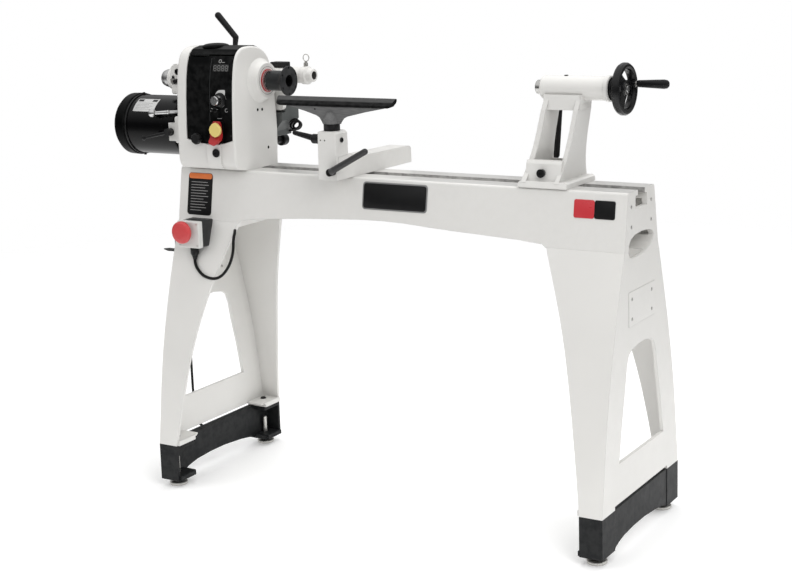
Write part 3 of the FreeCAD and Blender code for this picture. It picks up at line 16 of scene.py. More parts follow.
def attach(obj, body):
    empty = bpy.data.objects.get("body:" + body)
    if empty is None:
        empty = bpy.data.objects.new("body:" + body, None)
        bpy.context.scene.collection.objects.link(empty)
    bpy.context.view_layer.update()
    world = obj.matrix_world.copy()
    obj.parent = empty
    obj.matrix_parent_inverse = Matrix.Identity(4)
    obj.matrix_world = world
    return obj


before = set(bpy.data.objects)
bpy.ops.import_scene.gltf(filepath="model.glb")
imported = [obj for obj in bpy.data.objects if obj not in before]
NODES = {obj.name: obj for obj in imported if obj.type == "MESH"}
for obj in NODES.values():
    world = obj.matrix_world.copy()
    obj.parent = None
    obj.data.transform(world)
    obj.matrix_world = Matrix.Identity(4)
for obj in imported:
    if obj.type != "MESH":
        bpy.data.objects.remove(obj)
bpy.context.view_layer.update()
scene = bpy.context.scene

X, Y, Z = Vector((1, 0, 0)), Vector((0, 1, 0)), Vector((0, 0, 1))
BED_MIDDLE_X = 0.1025  # metres, in the frame of the CAD pieces
AXIS_Z = 1106  # height of the spindle and quill axis, which lies at y = 0


def at(x, y, z):
    """A point given in millimetres from the middle of the bed."""
    return Vector((x / 1000.0 + BED_MIDDLE_X, y / 1000.0, z / 1000.0))


def polar(radius, degrees):
    angle = math.radians(degrees)
    return radius * math.cos(angle), radius * math.sin(angle)


# ------------------------------------------------------------------ shader nodes
class Shader:
    """Short calls that add nodes to one tree, all reading one texture coordinate."""

    def __init__(self, tree, coords):
        self.tree = tree
        self.coords = self.add("TexCoord").outputs[coords]

    def feed(self, node, inputs):
        """Link each input to a socket, or set it to a plain value."""
        for key, value in inputs.items():
            socket = node.inputs[key]
            if isinstance(value, bpy.types.NodeSocket):
                self.tree.links.new(value, socket)
            elif socket.type == "RGBA":
                socket.default_value = (*value, 1.0)
            else:
                socket.default_value = value

    def add(self, kind, inputs=None, **settings):
        node = self.tree.nodes.new("ShaderNode" + kind)
        for key, value in settings.items():
            setattr(node, key, value)
        self.feed(node, inputs or {})
        return node

    def noise(self, scale=1.0, detail=3.0, rough=0.55, stretch=None):
        coords = self.coords
        if stretch:
            coords = self.add("Mapping", {"Vector": coords, "Scale": stretch}).outputs[0]
        inputs = {"Vector": coords, "Scale": scale, "Detail": detail, "Roughness": rough}
        return self.add("TexNoise", inputs).outputs["Fac"]

    def ramp(self, value, start=0.3, stop=0.7, low=0.0, high=1.0):
        """Go from low to high while value goes from start to stop."""
        inputs = {"Value": value, "From Min": start, "From Max": stop,
                  "To Min": low, "To Max": high}
        return self.add("MapRange", inputs, clamp=True).outputs["Result"]

    def math(self, operation, *values):
        return self.add("Math", dict(enumerate(values)), operation=operation).outputs[0]

    def vector_math(self, operation, *values):
        return self.add("VectorMath", dict(enumerate(values)), operation=operation).outputs

    def mix(self, factor, a, b):
        return self.add("Mix", {0: factor, 2: a, 3: b}, data_type="FLOAT").outputs[0]

    def blend(self, factor, a, b):
        """Mix two colours."""
        return self.add("Mix", {0: factor, 6: a, 7: b}, data_type="RGBA").outputs[2]

    def between(self, noise, a, b):
        """Two colours laid out by a noise."""
        return self.blend(self.ramp(noise), a, b)

    def tint(self, color, vary, scale):
        """A colour that drifts darker and lighter by the share vary."""
        dark = tuple(max(0.0, c * (1 - vary)) for c in color)
        light = tuple(min(1.0, c * (1 + vary)) for c in color)
        return self.between(self.noise(scale=scale, detail=4.0), dark, light)

    def part(self, vector, axis):
        return self.add("SeparateXYZ", {0: vector}).outputs[axis]

    def above(self, axis, at, soft):
        """1 above a plane across the part and 0 below it."""
        return self.ramp(self.part(self.coords, axis), start=at - soft, stop=at + soft)

    def below(self, axis, at, soft):
        part = self.part(self.coords, axis)
        return self.ramp(part, start=at - soft, stop=at + soft, low=1.0, high=0.0)

    def facing_up(self, start, stop):
        normal = self.add("NewGeometry").outputs["Normal"]
        return self.ramp(self.part(normal, "Z"), start=start, stop=stop)


MATERIALS = {}


def new_material(name):
    material = bpy.data.materials.new(name)
    MATERIALS[name] = material
    material.use_nodes = True
    tree = material.node_tree
    tree.nodes.clear()
    shader = Shader(tree, "Object")
    output = shader.add("OutputMaterial")
    bsdf = shader.add("BsdfPrincipled")
    shader.feed(output, {0: bsdf.outputs[0]})
    return shader, bsdf


def scaled(color, share):
    return tuple(c * share for c in color)


def surface(name, color, rough=0.4, metal=0.0, spec=0.5, coat=0.0, vary=0.03, vary_scale=9.0,
            gloss_vary=0.08, grain=None, bump=0.08, bump_scale=900.0, bump_depth=0.0002,
            bevel=0.0010, corner_shade=0.25, corner_shade_reach=0.02, worn=None, worn_amount=0.35,
            zones=None):
    """A finish with uneven tone and gloss, fine relief, painted shade in corners and worn edges.

    grain is the noise scale on each axis, for streaks. worn is the colour of worn edges.
    zones(shader, tone, gloss) gives the tone, gloss and metal of differing areas.
    """
    shader, bsdf = new_material(name)
    tone = shader.tint(color, vary, vary_scale)
    gloss = shader.ramp(shader.noise(scale=35.0), low=max(0.02, rough - gloss_vary),
                        high=min(1.0, rough + gloss_vary))
    if grain:
        streaks = shader.noise(detail=5.0, rough=0.6, stretch=grain)
        amount = shader.ramp(streaks, start=0.35, stop=0.65, high=0.35)
        tone = shader.blend(amount, tone, scaled(color, 0.72))
        gloss = shader.math("ADD", gloss, shader.ramp(streaks, low=-0.05, high=0.07))
    if zones:
        tone, gloss, metal = zones(shader, tone, gloss)
    if worn:
        ridge = shader.add("NewGeometry").outputs["Pointiness"]
        wear = shader.ramp(ridge, start=0.53, stop=0.60, high=worn_amount)
        patches = shader.noise(scale=60.0, detail=4.0)
        patches = shader.ramp(patches, start=0.35, stop=0.6, low=0.1)
        tone = shader.blend(shader.math("MULTIPLY", wear, patches), tone, worn)
    # Painted shade: corners and creases found by ambient occlusion are darkened, in patches.
    if corner_shade:
        corners = shader.add("AmbientOcclusion", {"Distance": corner_shade_reach}, samples=4)
        shade_mask = shader.ramp(corners.outputs["AO"], start=0.25, stop=0.95, low=corner_shade, high=0.0)
        patches = shader.ramp(shader.noise(scale=45.0, detail=4.0), low=0.5)
        tone = shader.blend(shader.math("MULTIPLY", shade_mask, patches), tone,
                            scaled(color, 0.35))
    shader.feed(bsdf, {"Base Color": tone, "Roughness": gloss, "Metallic": metal,
                       "Specular IOR Level": spec})
    if coat:
        shader.feed(bsdf, {"Coat Weight": coat, "Coat Roughness": 0.18})
    if grain:
        height = shader.noise(detail=4.0, stretch=grain)
    else:
        height = shader.noise(scale=bump_scale, detail=2.0)
    relief = {"Strength": bump, "Distance": bump_depth, "Height": height}
    if bevel:
        relief["Normal"] = shader.add("Bevel", {"Radius": bevel}, samples=4).outputs[0]
    shader.feed(bsdf, {"Normal": shader.add("Bump", relief).outputs[0]})


# ------------------------------------------------------------------ zones within a finish
def bed_zones(shader, tone, gloss):
    """Bare iron on the tops of the ways, with lines along the bed, and painted shade in the slot.
    """
    top = shader.facing_up(start=0.985, stop=0.995)
    ways = shader.math("MULTIPLY", top, shader.above("Z", at=0.8702, soft=0.0002))
    # Painted shade: the upper walls of the slot between the ways get a dark grey tone.
    slot_shade = shader.math("MULTIPLY", shader.above("Y", at=-0.0212, soft=0.0001),
                       shader.below("Y", at=0.0212, soft=0.0001))
    slot_shade = shader.math("MULTIPLY", slot_shade, shader.above("Z", at=0.855, soft=0.0003))
    lines = shader.noise(detail=4.0, rough=0.7, stretch=(6.0, 900.0, 900.0))
    iron = shader.between(lines, (0.62, 0.615, 0.60), (0.84, 0.83, 0.81))
    stain = shader.noise(detail=5.0, stretch=(9.0, 40.0, 40.0))
    stain = shader.ramp(stain, start=0.52, stop=0.72, high=0.4)
    iron = shader.blend(stain, iron, (0.40, 0.385, 0.36))
    # The dark grey of the painted shade in the slot.
    dark = shader.between(shader.noise(scale=80.0), (0.20, 0.195, 0.19), (0.30, 0.295, 0.285))
    tone = shader.blend(slot_shade, shader.blend(ways, tone, iron), dark)
    gloss = shader.mix(ways, gloss, shader.ramp(lines, low=0.28, high=0.45))
    return tone, gloss, shader.mix(ways, 0.0, 0.45)


def arm_bore_shade(shader, tone, gloss):
    """Painted shade: near black inside the bore along X through the rear arm."""
    offset = shader.vector_math("SUBTRACT", shader.coords, (0.0, 0.104, 1.112))[0]
    across = shader.vector_math("MULTIPLY", offset, (0.0, 1.0, 1.0))[0]
    radius = shader.vector_math("LENGTH", across)["Value"]
    # Painted shade in the bore: near black within its radius.
    bore = shader.ramp(radius, start=0.0112, stop=0.0116, low=1.0, high=0.0)
    return shader.blend(bore, tone, (0.006, 0.006, 0.006)), gloss, shader.mix(bore, 0.0, 0.0)


def stop_box_zones(shader, tone, gloss):
    """A pale lid on a dark base."""
    base = shader.above("Y", at=-0.1516, soft=0.0002)
    dark = shader.tint((0.010, 0.0105, 0.011), vary=0.1, scale=30.0)
    base = shader.math("MAXIMUM", base, shader.below("Z", at=0.6638, soft=0.0003))
    return shader.blend(base, tone, dark), gloss, shader.mix(base, 0.0, 0.0)


def dial_zones(shader, tone, gloss):
    """A bright turned cap in front of a black skirt."""
    cap = shader.below("Y", at=-0.1284, soft=0.0003)
    lines = shader.noise(stretch=(30.0, 1200.0, 30.0))
    bright = shader.between(lines, (0.50, 0.50, 0.50), (0.74, 0.74, 0.74))
    return shader.blend(cap, tone, bright), shader.mix(cap, gloss, 0.22), shader.mix(cap, 0.0, 1.0)


def lever_zones(shader, tone, gloss):
    """Bare steel where the shaft crosses the casting, black on the lever outside it."""
    shaft = shader.math("MULTIPLY", shader.above("Y", at=-0.128, soft=0.0003),
                        shader.below("Y", at=0.120, soft=0.0003))
    tone = shader.blend(shaft, tone, (0.45, 0.45, 0.44))
    return tone, shader.mix(shaft, gloss, 0.3), shader.mix(shaft, 0.0, 1.0)


def rest_zones(shader, tone, gloss):
    """Bare metal along the top edge, where tools slide, a grey web and a black post."""
    top = shader.math("MULTIPLY", shader.facing_up(start=0.30, stop=0.55),
                      shader.above("Z", at=1.0695, soft=0.0012))
    top = shader.math("MAXIMUM", top, shader.above("Z", at=1.0765, soft=0.0006))
    lines = shader.noise(detail=4.0, stretch=(40.0, 500.0, 500.0))
    bare = shader.between(lines, (0.05, 0.05, 0.05), (0.10, 0.10, 0.10))
    post = shader.below("Z", at=1.0125, soft=0.0004)
    web = shader.math("MULTIPLY", shader.above("Z", at=1.0130, soft=0.0006),
                      shader.below("Z", at=1.0562, soft=0.0010))
    grey = shader.between(lines, (0.125, 0.126, 0.127), (0.185, 0.185, 0.183))
    tone = shader.blend(top, shader.blend(web, tone, grey), bare)
    tone = shader.blend(post, tone, (0.006, 0.006, 0.006))
    return tone, shader.mix(top, gloss, 0.3), shader.mix(top, 0.0, 0.7)


# ------------------------------------------------------------------ painted castings
LIGHT_PAINT = dict(
    color=(0.735, 0.725, 0.70), rough=0.36, coat=0.12, vary=0.018, vary_scale=5.0, bump=0.22,
    bump_scale=420.0, bump_depth=0.00025, bevel=0.0018, corner_shade=0.35, corner_shade_reach=0.03,
    worn=(0.78, 0.77, 0.75), worn_amount=0.3)
surface("paint_light", **LIGHT_PAINT)
surface("rear_arm_paint", zones=arm_bore_shade, **LIGHT_PAINT)
surface("bed_paint_and_ways", zones=bed_zones, **LIGHT_PAINT)
surface("riser_dark", (0.0085, 0.0095, 0.0105), rough=0.48, spec=0.16, gloss_vary=0.03,
        bump=0.22, bump_scale=620.0, bump_depth=0.0003, bevel=0.002, corner_shade=0.2,
        worn=(0.05, 0.05, 0.05), worn_amount=0.3)

# ------------------------------------------------------------------ black parts
surface("panel_black", (0.0014, 0.0016, 0.0017), rough=0.30, spec=0.05, vary=0.05,
        gloss_vary=0.012, bump_scale=1500.0, bevel=0.0012, corner_shade=0.1,
        worn=(0.03, 0.03, 0.03), worn_amount=0.3)
surface("plastic_black", (0.006, 0.006, 0.0065), rough=0.42, spec=0.25, vary=0.12, bump=0.35,
        bump_scale=1800.0, bevel=0.0008, corner_shade=0.1, worn=(0.05, 0.05, 0.05), worn_amount=0.4)
surface("wheel_black", (0.006, 0.006, 0.0065), rough=0.26, spec=0.35, vary=0.1, bump=0.18,
        bump_scale=700.0, bevel=0.0012, corner_shade=0.15, worn=(0.06, 0.06, 0.06), worn_amount=0.4)
surface("motor_black", (0.0012, 0.0012, 0.0014), rough=0.17, spec=0.18, vary=0.1,
        gloss_vary=0.03, bump=0.10, bump_scale=420.0, bevel=0.0015, corner_shade=0.1,
        worn=(0.03, 0.03, 0.03), worn_amount=0.3)
surface("bolt_black", (0.006, 0.006, 0.0065), rough=0.42, spec=0.25, vary=0.15, bump=0.3,
        bump_scale=1200.0, bevel=0.0005, worn=(0.08, 0.08, 0.08))

# ------------------------------------------------------------------ bare metals
surface("zinc", (0.62, 0.61, 0.58), rough=0.33, metal=0.85, vary=0.08, vary_scale=60.0,
        bump=0.15, bevel=0.0006, corner_shade=0.4, corner_shade_reach=0.008)
surface("turned_steel", (0.55, 0.55, 0.545), rough=0.24, metal=1.0, vary=0.06,
        grain=(1500.0, 14.0, 14.0), bump=0.12, bevel=0.0005, corner_shade=0.35, corner_shade_reach=0.008)
surface("plate_steel", (0.30, 0.30, 0.295), rough=0.42, metal=0.9, vary=0.12, vary_scale=40.0,
        bump=0.2, bump_scale=500.0, corner_shade=0.3)
surface("quill_steel", (0.58, 0.575, 0.56), rough=0.20, metal=1.0, vary=0.05,
        grain=(1400.0, 10.0, 10.0), bevel=0.0005, corner_shade=0.3, corner_shade_reach=0.006)
surface("chrome", (0.62, 0.62, 0.62), rough=0.10, metal=1.0, gloss_vary=0.04, bump=0.03,
        bump_scale=200.0, bevel=0.0004, corner_shade=0.3, corner_shade_reach=0.01)
surface("turned_aluminium", (0.66, 0.66, 0.67), rough=0.32, metal=0.95, vary=0.05,
        grain=(1200.0, 16.0, 16.0), bump=0.15, bevel=0.0005, corner_shade=0.4, corner_shade_reach=0.008)
surface("belt_rubber", (0.016, 0.016, 0.016), rough=0.72, vary=0.2, bump=0.4,
        bump_scale=700.0, bevel=0.0, corner_shade=0.2)
surface("machined_iron_dark", (0.019, 0.020, 0.0215), rough=0.38, metal=0.25, spec=0.28,
        vary=0.10, vary_scale=25.0, grain=(900.0, 22.0, 22.0), bump=0.2, bevel=0.0008,
        corner_shade=0.2, corner_shade_reach=0.008, worn=(0.12, 0.12, 0.12), worn_amount=0.3)
surface("rest_dark", (0.045, 0.045, 0.046), metal=0.2, spec=0.3, vary=0.10, vary_scale=18.0,
        bump=0.35, bump_scale=380.0, bump_depth=0.0003, bevel=0.0012, corner_shade=0.2,
        worn=(0.16, 0.16, 0.16), worn_amount=0.4)

# ------------------------------------------------------------------ coloured parts
surface("red_paint", (0.34, 0.022, 0.024), rough=0.30, coat=0.3, vary=0.08, bump=0.15,
        bump_scale=500.0, bevel=0.0005)
surface("red_plastic", (0.40, 0.022, 0.024), rough=0.42, spec=0.25, coat=0.05, vary=0.05,
        bump=0.2, corner_shade=0.2)
surface("stop_red", (0.58, 0.058, 0.062), rough=0.42, coat=0.1, vary=0.04, bump=0.25,
        bump_scale=1100.0, bevel=0.0012, corner_shade=0.2)
surface("yellow_plastic", (0.76, 0.60, 0.20), rough=0.36, vary=0.05, bump=0.2)
surface("drive_box_dark", (0.095, 0.102, 0.100), rough=0.50, spec=0.3, vary=0.06, bump=0.35,
        bevel=0.0018, corner_shade=0.2, worn=(0.10, 0.10, 0.10), worn_amount=0.3)
surface("cable_black", (0.005, 0.005, 0.005), rough=0.50, spec=0.25, vary=0.1, bump=0.3,
        bump_scale=1500.0, bevel=0.0, corner_shade=0.1)

# ------------------------------------------------------------------ marks and plates
surface("grey_mark", (0.34, 0.34, 0.335), rough=0.5, vary=0.06, bump=0.1, bevel=0.0, corner_shade=0.0)
surface("white_mark", (0.66, 0.66, 0.65), rough=0.45, vary=0.05, bump=0.1, bevel=0.0, corner_shade=0.0)
surface("digit_grey", (0.20, 0.20, 0.195), spec=0.2, vary=0.05, bump=0.05, bevel=0.0, corner_shade=0.0)
# Painted highlight: a grey lighter than the black panel, for the line along the door seam.
surface("seam_sheen", (0.030, 0.032, 0.033), rough=0.32, spec=0.3, vary=0.1, bump=0.1,
        bevel=0.0, corner_shade=0.0)
surface("lens_black", (0.02, 0.02, 0.02), rough=0.14, spec=0.3, vary=0.1, gloss_vary=0.03,
        bump=0.02, bevel=0.0003, corner_shade=0.0)
surface("plate_charcoal", (0.007, 0.007, 0.0075), rough=0.36, spec=0.25, vary=0.08, bump=0.2,
        bump_scale=1200.0, bevel=0.0004, corner_shade=0.1)
surface("plate_red", (0.55, 0.035, 0.045), rough=0.33, coat=0.2, vary=0.05, bump=0.15,
        bump_scale=1200.0, bevel=0.0004, corner_shade=0.1)
surface("plate_grey", (0.20, 0.20, 0.20), vary=0.05, bump=0.15, bump_scale=1200.0,
        bevel=0.0004, corner_shade=0.1)
surface("plate_orange", (0.72, 0.18, 0.045), rough=0.45, vary=0.05, bump=0.15,
        bump_scale=1200.0, bevel=0.0003, corner_shade=0.1)

# ------------------------------------------------------------------ parts in several tones
surface("stop_box_two_tone", (0.66, 0.66, 0.64), bump=0.3, bevel=0.0012, zones=stop_box_zones)
surface("dial_cap_and_skirt", (0.005, 0.005, 0.0055), spec=0.3, vary=0.1, bump=0.15,
        bevel=0.0006, corner_shade=0.1, zones=dial_zones)
surface("headstock_lever", (0.008, 0.008, 0.0085), rough=0.42, spec=0.28, vary=0.12, bump=0.4,
        bevel=0.0012, corner_shade=0.1, worn=(0.05, 0.05, 0.05), zones=lever_zones)
surface("fan_cover_black", (0.0012, 0.0013, 0.0014), rough=0.34, spec=0.06, vary=0.1, bump=0.4,
        bump_scale=620.0, bump_depth=0.0003, bevel=0.0020, corner_shade=0.2,
        worn=(0.05, 0.05, 0.05), worn_amount=0.3)
surface("tool_rest_iron", (0.0016, 0.0017, 0.0018), rough=0.55, spec=0.04, vary=0.10,
        vary_scale=18.0, bump=0.3, bump_scale=380.0, bump_depth=0.0003, bevel=0.0012,
        corner_shade=0.2, worn=(0.04, 0.04, 0.04), worn_amount=0.3, zones=rest_zones)
surface("rating_plate", (0.70, 0.70, 0.69), rough=0.26, metal=0.9, vary=0.04,
        grain=(30.0, 900.0, 900.0), bevel=0.0003, corner_shade=0.15)

# Material, then the CAD pieces that wear it
FINISHES = {
    "paint_light": "right_leg left_leg headstock_casting tailstock_casting tool_rest_base",
    "rear_arm_paint": "rear_arm",
    "bed_paint_and_ways": "bed",
    "riser_dark": "right_riser left_riser",
    "panel_black": "control_panel belt_door top_cover",
    "plastic_black": "door_knob direction_toggle motor_lock_lever wheel_handle"
                     " tailstock_clamp_lever rest_lock_lever",
    "wheel_black": "handwheel",
    "motor_black": "motor_body motor_plate",
    "fan_cover_black": "motor_fan_cover",
    "bolt_black": "frame_bolts index_pin spindle_lock_pin rest_collar tool_hook",
    "zinc": "jam_nuts foot_front_left foot_front_right foot_rear_left foot_rear_right arm_pin",
    "turned_steel": "spindle spindle_bearings motor_shaft leadscrew",
    "plate_steel": "headstock_clamp_bolt headstock_clamp_plate tailstock_clamp_bolt"
                   " tailstock_clamp_plate rest_clamp_bolt rest_clamp_plate",
    "quill_steel": "quill",
    "chrome": "tension_handle",
    "turned_aluminium": "spindle_pulley motor_pulley",
    "belt_rubber": "drive_belt",
    "machined_iron_dark": "faceplate",
    "rest_dark": "rest_clamp_lever",
    "red_paint": "nose_ring",
    "red_plastic": "switch_paddle",
    "stop_red": "stop_button",
    "yellow_plastic": "safety_key",
    "drive_box_dark": "drive_box",
    "stop_box_two_tone": "stop_box",
    "dial_cap_and_skirt": "speed_dial",
    "headstock_lever": "headstock_clamp_lever",
    "tool_rest_iron": "tool_rest",
}
finish_of = {piece: finish for finish, pieces in FINISHES.items() for piece in pieces.split()}
for name, obj in NODES.items():
    obj.data.materials.clear()
    obj.data.materials.append(MATERIALS[finish_of[name]])


# ------------------------------------------------------------------ mesh makers
def make(name, body, verts, faces, mat, angle):
    """A smooth mesh that rides on a body, with edges of angle degrees or more kept sharp."""
    mesh = bpy.data.meshes.new(name)
    mesh.from_pydata([tuple(v) for v in verts], [], faces)
    mesh.materials.append(MATERIALS[mat])
    bm = bmesh.new()
    bm.from_mesh(mesh)
    bmesh.ops.remove_doubles(bm, verts=bm.verts, dist=1e-6)
    bmesh.ops.recalc_face_normals(bm, faces=bm.faces)
    limit = math.radians(angle)
    for edge in bm.edges:
        edge.smooth = len(edge.link_faces) == 2 and edge.calc_face_angle(0.0) < limit
    for face in bm.faces:
        face.smooth = True
    bm.to_mesh(mesh)
    bm.free()
    obj = bpy.data.objects.new(name, mesh)
    scene.collection.objects.link(obj)
    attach(obj, body)


def loft(name, body, rings, mat, angle, capped=True):
    """Join rings of equal point count, each to the next."""
    n = len(rings[0])
    last = (len(rings) - 1) * n
    faces = []
    for k in range(0, last, n):
        for i in range(n):
            j = (i + 1) % n
            faces.append((k + i, k + j, k + n + j, k + n + i))
    if capped:
        faces.append(tuple(range(n - 1, -1, -1)))
        faces.append(tuple(range(last, last + n)))
    make(name, body, [p for ring in rings for p in ring], faces, mat, angle)


def basis(axis):
    """Two directions across an axis, and the axis itself."""
    axis = Vector(axis).normalized()
    u = Z.cross(axis)
    if u.length < 1e-4:
        u = X.cross(axis)
    u.normalize()
    return u, axis.cross(u).normalized(), axis


HEX = True


def turned(name, body, origin, axis, profile, mat="bolt_black", n=40, angle=35.0, capped=True):
    """A turned piece. profile is (distance along the axis, radius), with HEX for a hexagon."""
    u, v, w = basis(axis)
    rings = []
    for distance, radius, *hexagonal in profile:
        ring = []
        for i in range(n):
            a = 2 * math.pi * i / n
            r = radius
            if hexagonal:
                r *= math.cos(math.pi / 6) / math.cos(a % (math.pi / 3) - math.pi / 6)
            around = (u * math.cos(a) + v * math.sin(a)) * (r / 1000)
            ring.append(origin + w * (distance / 1000) + around)
        rings.append(ring)
    loft(name, body, rings, mat, angle, capped)


def screw(name, body, origin, axis, size, mat="bolt_black", depth=None):
    """A socket-head screw. size is (head radius, head height, socket radius)."""
    r, h, socket = size
    depth = depth or h * 0.6
    profile = [(0, r), (h * 0.86, r), (h, r * 0.9), (h, socket * 1.12),
               (h - depth * 0.1, socket, HEX), (h - depth, socket, HEX)]
    turned(name, body, origin, axis, profile, mat, n=36, angle=30)


def hex_head(name, body, origin, axis, r, h, mat, washer=0.0):
    """A hexagon head with a chamfered top, over a washer of the given radius if any."""
    profile = []
    if washer:
        profile += [(0, washer), (1.2, washer), (1.4, washer - 0.3)]
    profile += [(1.4 if washer else 0, r, HEX), (h * 0.82, r, HEX), (h, r * 0.88), (h, r * 0.3)]
    turned(name, body, origin, axis, profile, mat, n=48, angle=28)


def outline(w, h, r, steps):
    """A centred rectangle with rounded corners."""
    points = []
    corners = ((w / 2 - r, h / 2 - r), (-w / 2 + r, h / 2 - r),
               (-w / 2 + r, -h / 2 + r), (w / 2 - r, -h / 2 + r))
    for i, (x, y) in enumerate(corners):
        for k in range(steps + 1):
            dx, dy = polar(r, 90 * i + 90 * k / steps)
            points.append((x + dx, y + dy))
    return points


def plate(name, body, centre, across, up, size, thick, mat, rim=0.3, base=0.0, steps=8):
    """A plate with a softened rim, standing from base to thick over its centre.

    size is (width, height, corner radius), and steps divide each corner.
    """
    across, up = across.normalized(), up.normalized()
    out = across.cross(up).normalized()
    shrink = rim / (max(size[:2]) / 2)
    points = outline(*size, steps)
    rings = []
    for d, k in ((base, 1), (thick - rim, 1), (thick - rim * 0.3, 1 - shrink * 0.35),
                 (thick, 1 - shrink)):
        rings.append([centre + across * (x * k / 1000) + up * (y * k / 1000) + out * (d / 1000)
                      for x, y in points])
    loft(name, body, rings, mat, angle=40)


def spline(points, per=14):
    """A Catmull-Rom curve with per points on each span."""
    curve = []
    for i in range(len(points) - 1):
        p0, p1, p2 = points[max(i - 1, 0)], points[i], points[i + 1]
        p3 = points[min(i + 2, len(points) - 1)]
        for k in range(per):
            t = k / per
            curve.append(0.5 * ((2 * p1) + (p2 - p0) * t
                                + (2 * p0 - 5 * p1 + 4 * p2 - p3) * t * t
                                + (3 * p1 - p0 - 3 * p2 + p3) * t ** 3))
    curve.append(points[-1])
    return curve


def tube(name, body, radius, stations, mat="cable_black", n=16):
    """A round bar along a smooth path through (x, y, z) stations."""
    path = spline([at(*station) for station in stations])
    u = basis((path[1] - path[0]).normalized())[0]
    rings = []
    for i, p in enumerate(path):
        along = (path[min(i + 1, len(path) - 1)] - path[max(i - 1, 0)]).normalized()
        u = (u - along * u.dot(along)).normalized()
        v = along.cross(u).normalized()
        ring = []
        for j in range(n):
            a = 2 * math.pi * j / n
            ring.append(p + (u * math.cos(a) + v * math.sin(a)) * (radius / 1000))
        rings.append(ring)
    loft(name, body, rings, mat, angle=60)


# ------------------------------------------------------------------ plates on the bed
BED_TOP_Z = 870.6
BED_FRONT_Y = -80.0  # of the front face, at the top
SLOPE = 23.0 / 139.6  # how far the front face leans out for each millimetre down
BED_UP = Vector((0, SLOPE, 1)).normalized()


def bed_plate(name, x, z, size, thick, mat, rim=0.35, base=0.0, steps=8):
    centre = at(x, BED_FRONT_Y - (BED_TOP_Z - z) * SLOPE, z)
    plate(name, "frame", centre, X, BED_UP, size, thick, mat, rim, base, steps)


NOTICE_X = -594
LINE_PITCH = 7.6
LONGEST_LINE = 62  # the printed lines are ranged left within this width
LINE_WIDTHS = (56, 60, 48, 58, 52, 60, 44, 58, 50, 54, 38)

bed_plate("bed_plate_rim", 28, 826, (192, 71, 9), 0.9, "plate_grey", rim=0.4)
bed_plate("bed_plate_face", 28, 826, (185, 64, 7), 1.5, "plate_charcoal", rim=0.4, base=0.5)
bed_plate("side_plate_red", 553.5, 828.5, (53, 44, 5), 1.1, "plate_red")
bed_plate("side_plate_dark", 607, 828.5, (53, 44, 5), 1.1, "plate_charcoal")
bed_plate("notice_plate", NOTICE_X, 800, (82, 115, 9), 0.9, "plate_charcoal")
bed_plate("notice_band", NOTICE_X, 848.6, (79, 15, 6.5), 1.3, "plate_orange", rim=0.3, base=0.4)
for i, width in enumerate(LINE_WIDTHS):
    bed_plate("notice_line_%02d" % i, NOTICE_X - (LONGEST_LINE - width) / 2,
              832 - i * LINE_PITCH, (width, 1.5, 0.7), 1.15, "grey_mark", rim=0.15, base=0.5,
              steps=3)

# ------------------------------------------------------------------ fixings on the frame
for end in (-1, 1):
    for side in (-1, 1):
        hex_head("leg_nut_%s%s202" % ("lr"[end > 0], "fb"[side > 0]), "frame",
                 at(end * 633, side * 202, 134.5), Z, r=7.4, h=5.0, mat="bolt_black",
                 washer=9.0)

# Rings round the holes in both ends: height, distance of the face from the middle
END_HOLES = [(787, 663.05), (835.5, 663.05), (565, 664.3), (613.5, 664.3)]
HOLE_Y = 61
for i, (z, face_x) in enumerate(END_HOLES):
    for k, y in enumerate((-HOLE_Y, HOLE_Y)):
        for end in (-1, 1):
            turned("end_hole_ring_%d%s" % (2 * i + k, "lr"[end > 0]), "frame",
                   at(end * face_x, y, z), X * end,
                   [(0, 3.4), (0, 4.4), (0.12, 4.3), (0.12, 3.4)], "plate_steel", n=28,
                   capped=False)

# ------------------------------------------------------------------ emergency stop and cords
for i, (x, z) in enumerate(((-611, 671), (-552, 671), (-552, 730), (-611, 730))):
    screw("stop_lid_screw_%d" % i, "frame", at(x, -167.9, z), -Y, (2.6, 0.8, 1.2), "zinc")

GLAND_X, GLAND_Y = -583, -142
hex_head("stop_gland_nut", "frame", at(GLAND_X, GLAND_Y, 652), -Z, r=11.5, h=10,
         mat="plastic_black")
turned("stop_gland_collar", "frame", at(GLAND_X, GLAND_Y, 664), -Z,
       [(0, 12.5), (3, 12.5), (4, 11.5), (12, 11.0), (12.5, 10)], "plastic_black")
turned("stop_gland_boot", "frame", at(GLAND_X, GLAND_Y, 642), -Z,
       [(0, 9.5), (2, 9.0), (3, 8.0), (8, 7.2), (8.6, 6.2), (14, 5.2), (14.2, 4.2)],
       "plastic_black")
tube("stop_cable", "frame", 4.0, [
    (GLAND_X, GLAND_Y, 640), (-582, -144, 622), (-572, -148, 604), (-548, -152, 587),
    (-516, -150, 581), (-490, -146, 592), (-468, -142, 620), (-455, -140, 655),
    (-455, -134, 690), (-462, -118, 706), (-476, -98, 712)])
tube("power_cord", "frame", 3.6, [
    (-506, 116, 928), (-512, 118, 905), (-560, 122, 885), (-640, 112, 868), (-690, 60, 830),
    (-700, 0, 740), (-701, -30, 600), (-700, -40, 470), (-700, -41, 338), (-700, -40, 202),
    (-699, -36, 138), (-694, -20, 108), (-690, 8, 94)])
turned("power_plug", "frame", at(-690, 6, 95), Vector((-0.05, 0.88, -0.42)),
       [(0, 3.8), (3, 5.2), (8, 5.8), (11, 7.6), (17, 12), (30, 13.5), (41, 13), (43, 11.5),
        (43, 2)], "plastic_black", n=32)
tube("cord_clip", "frame", 1.6, [
    (-671, -33, 470), (-690, -33, 473), (-704, -35, 472), (-707, -40, 470),
    (-704, -45, 468), (-690, -47, 467), (-671, -47, 470)], "zinc")

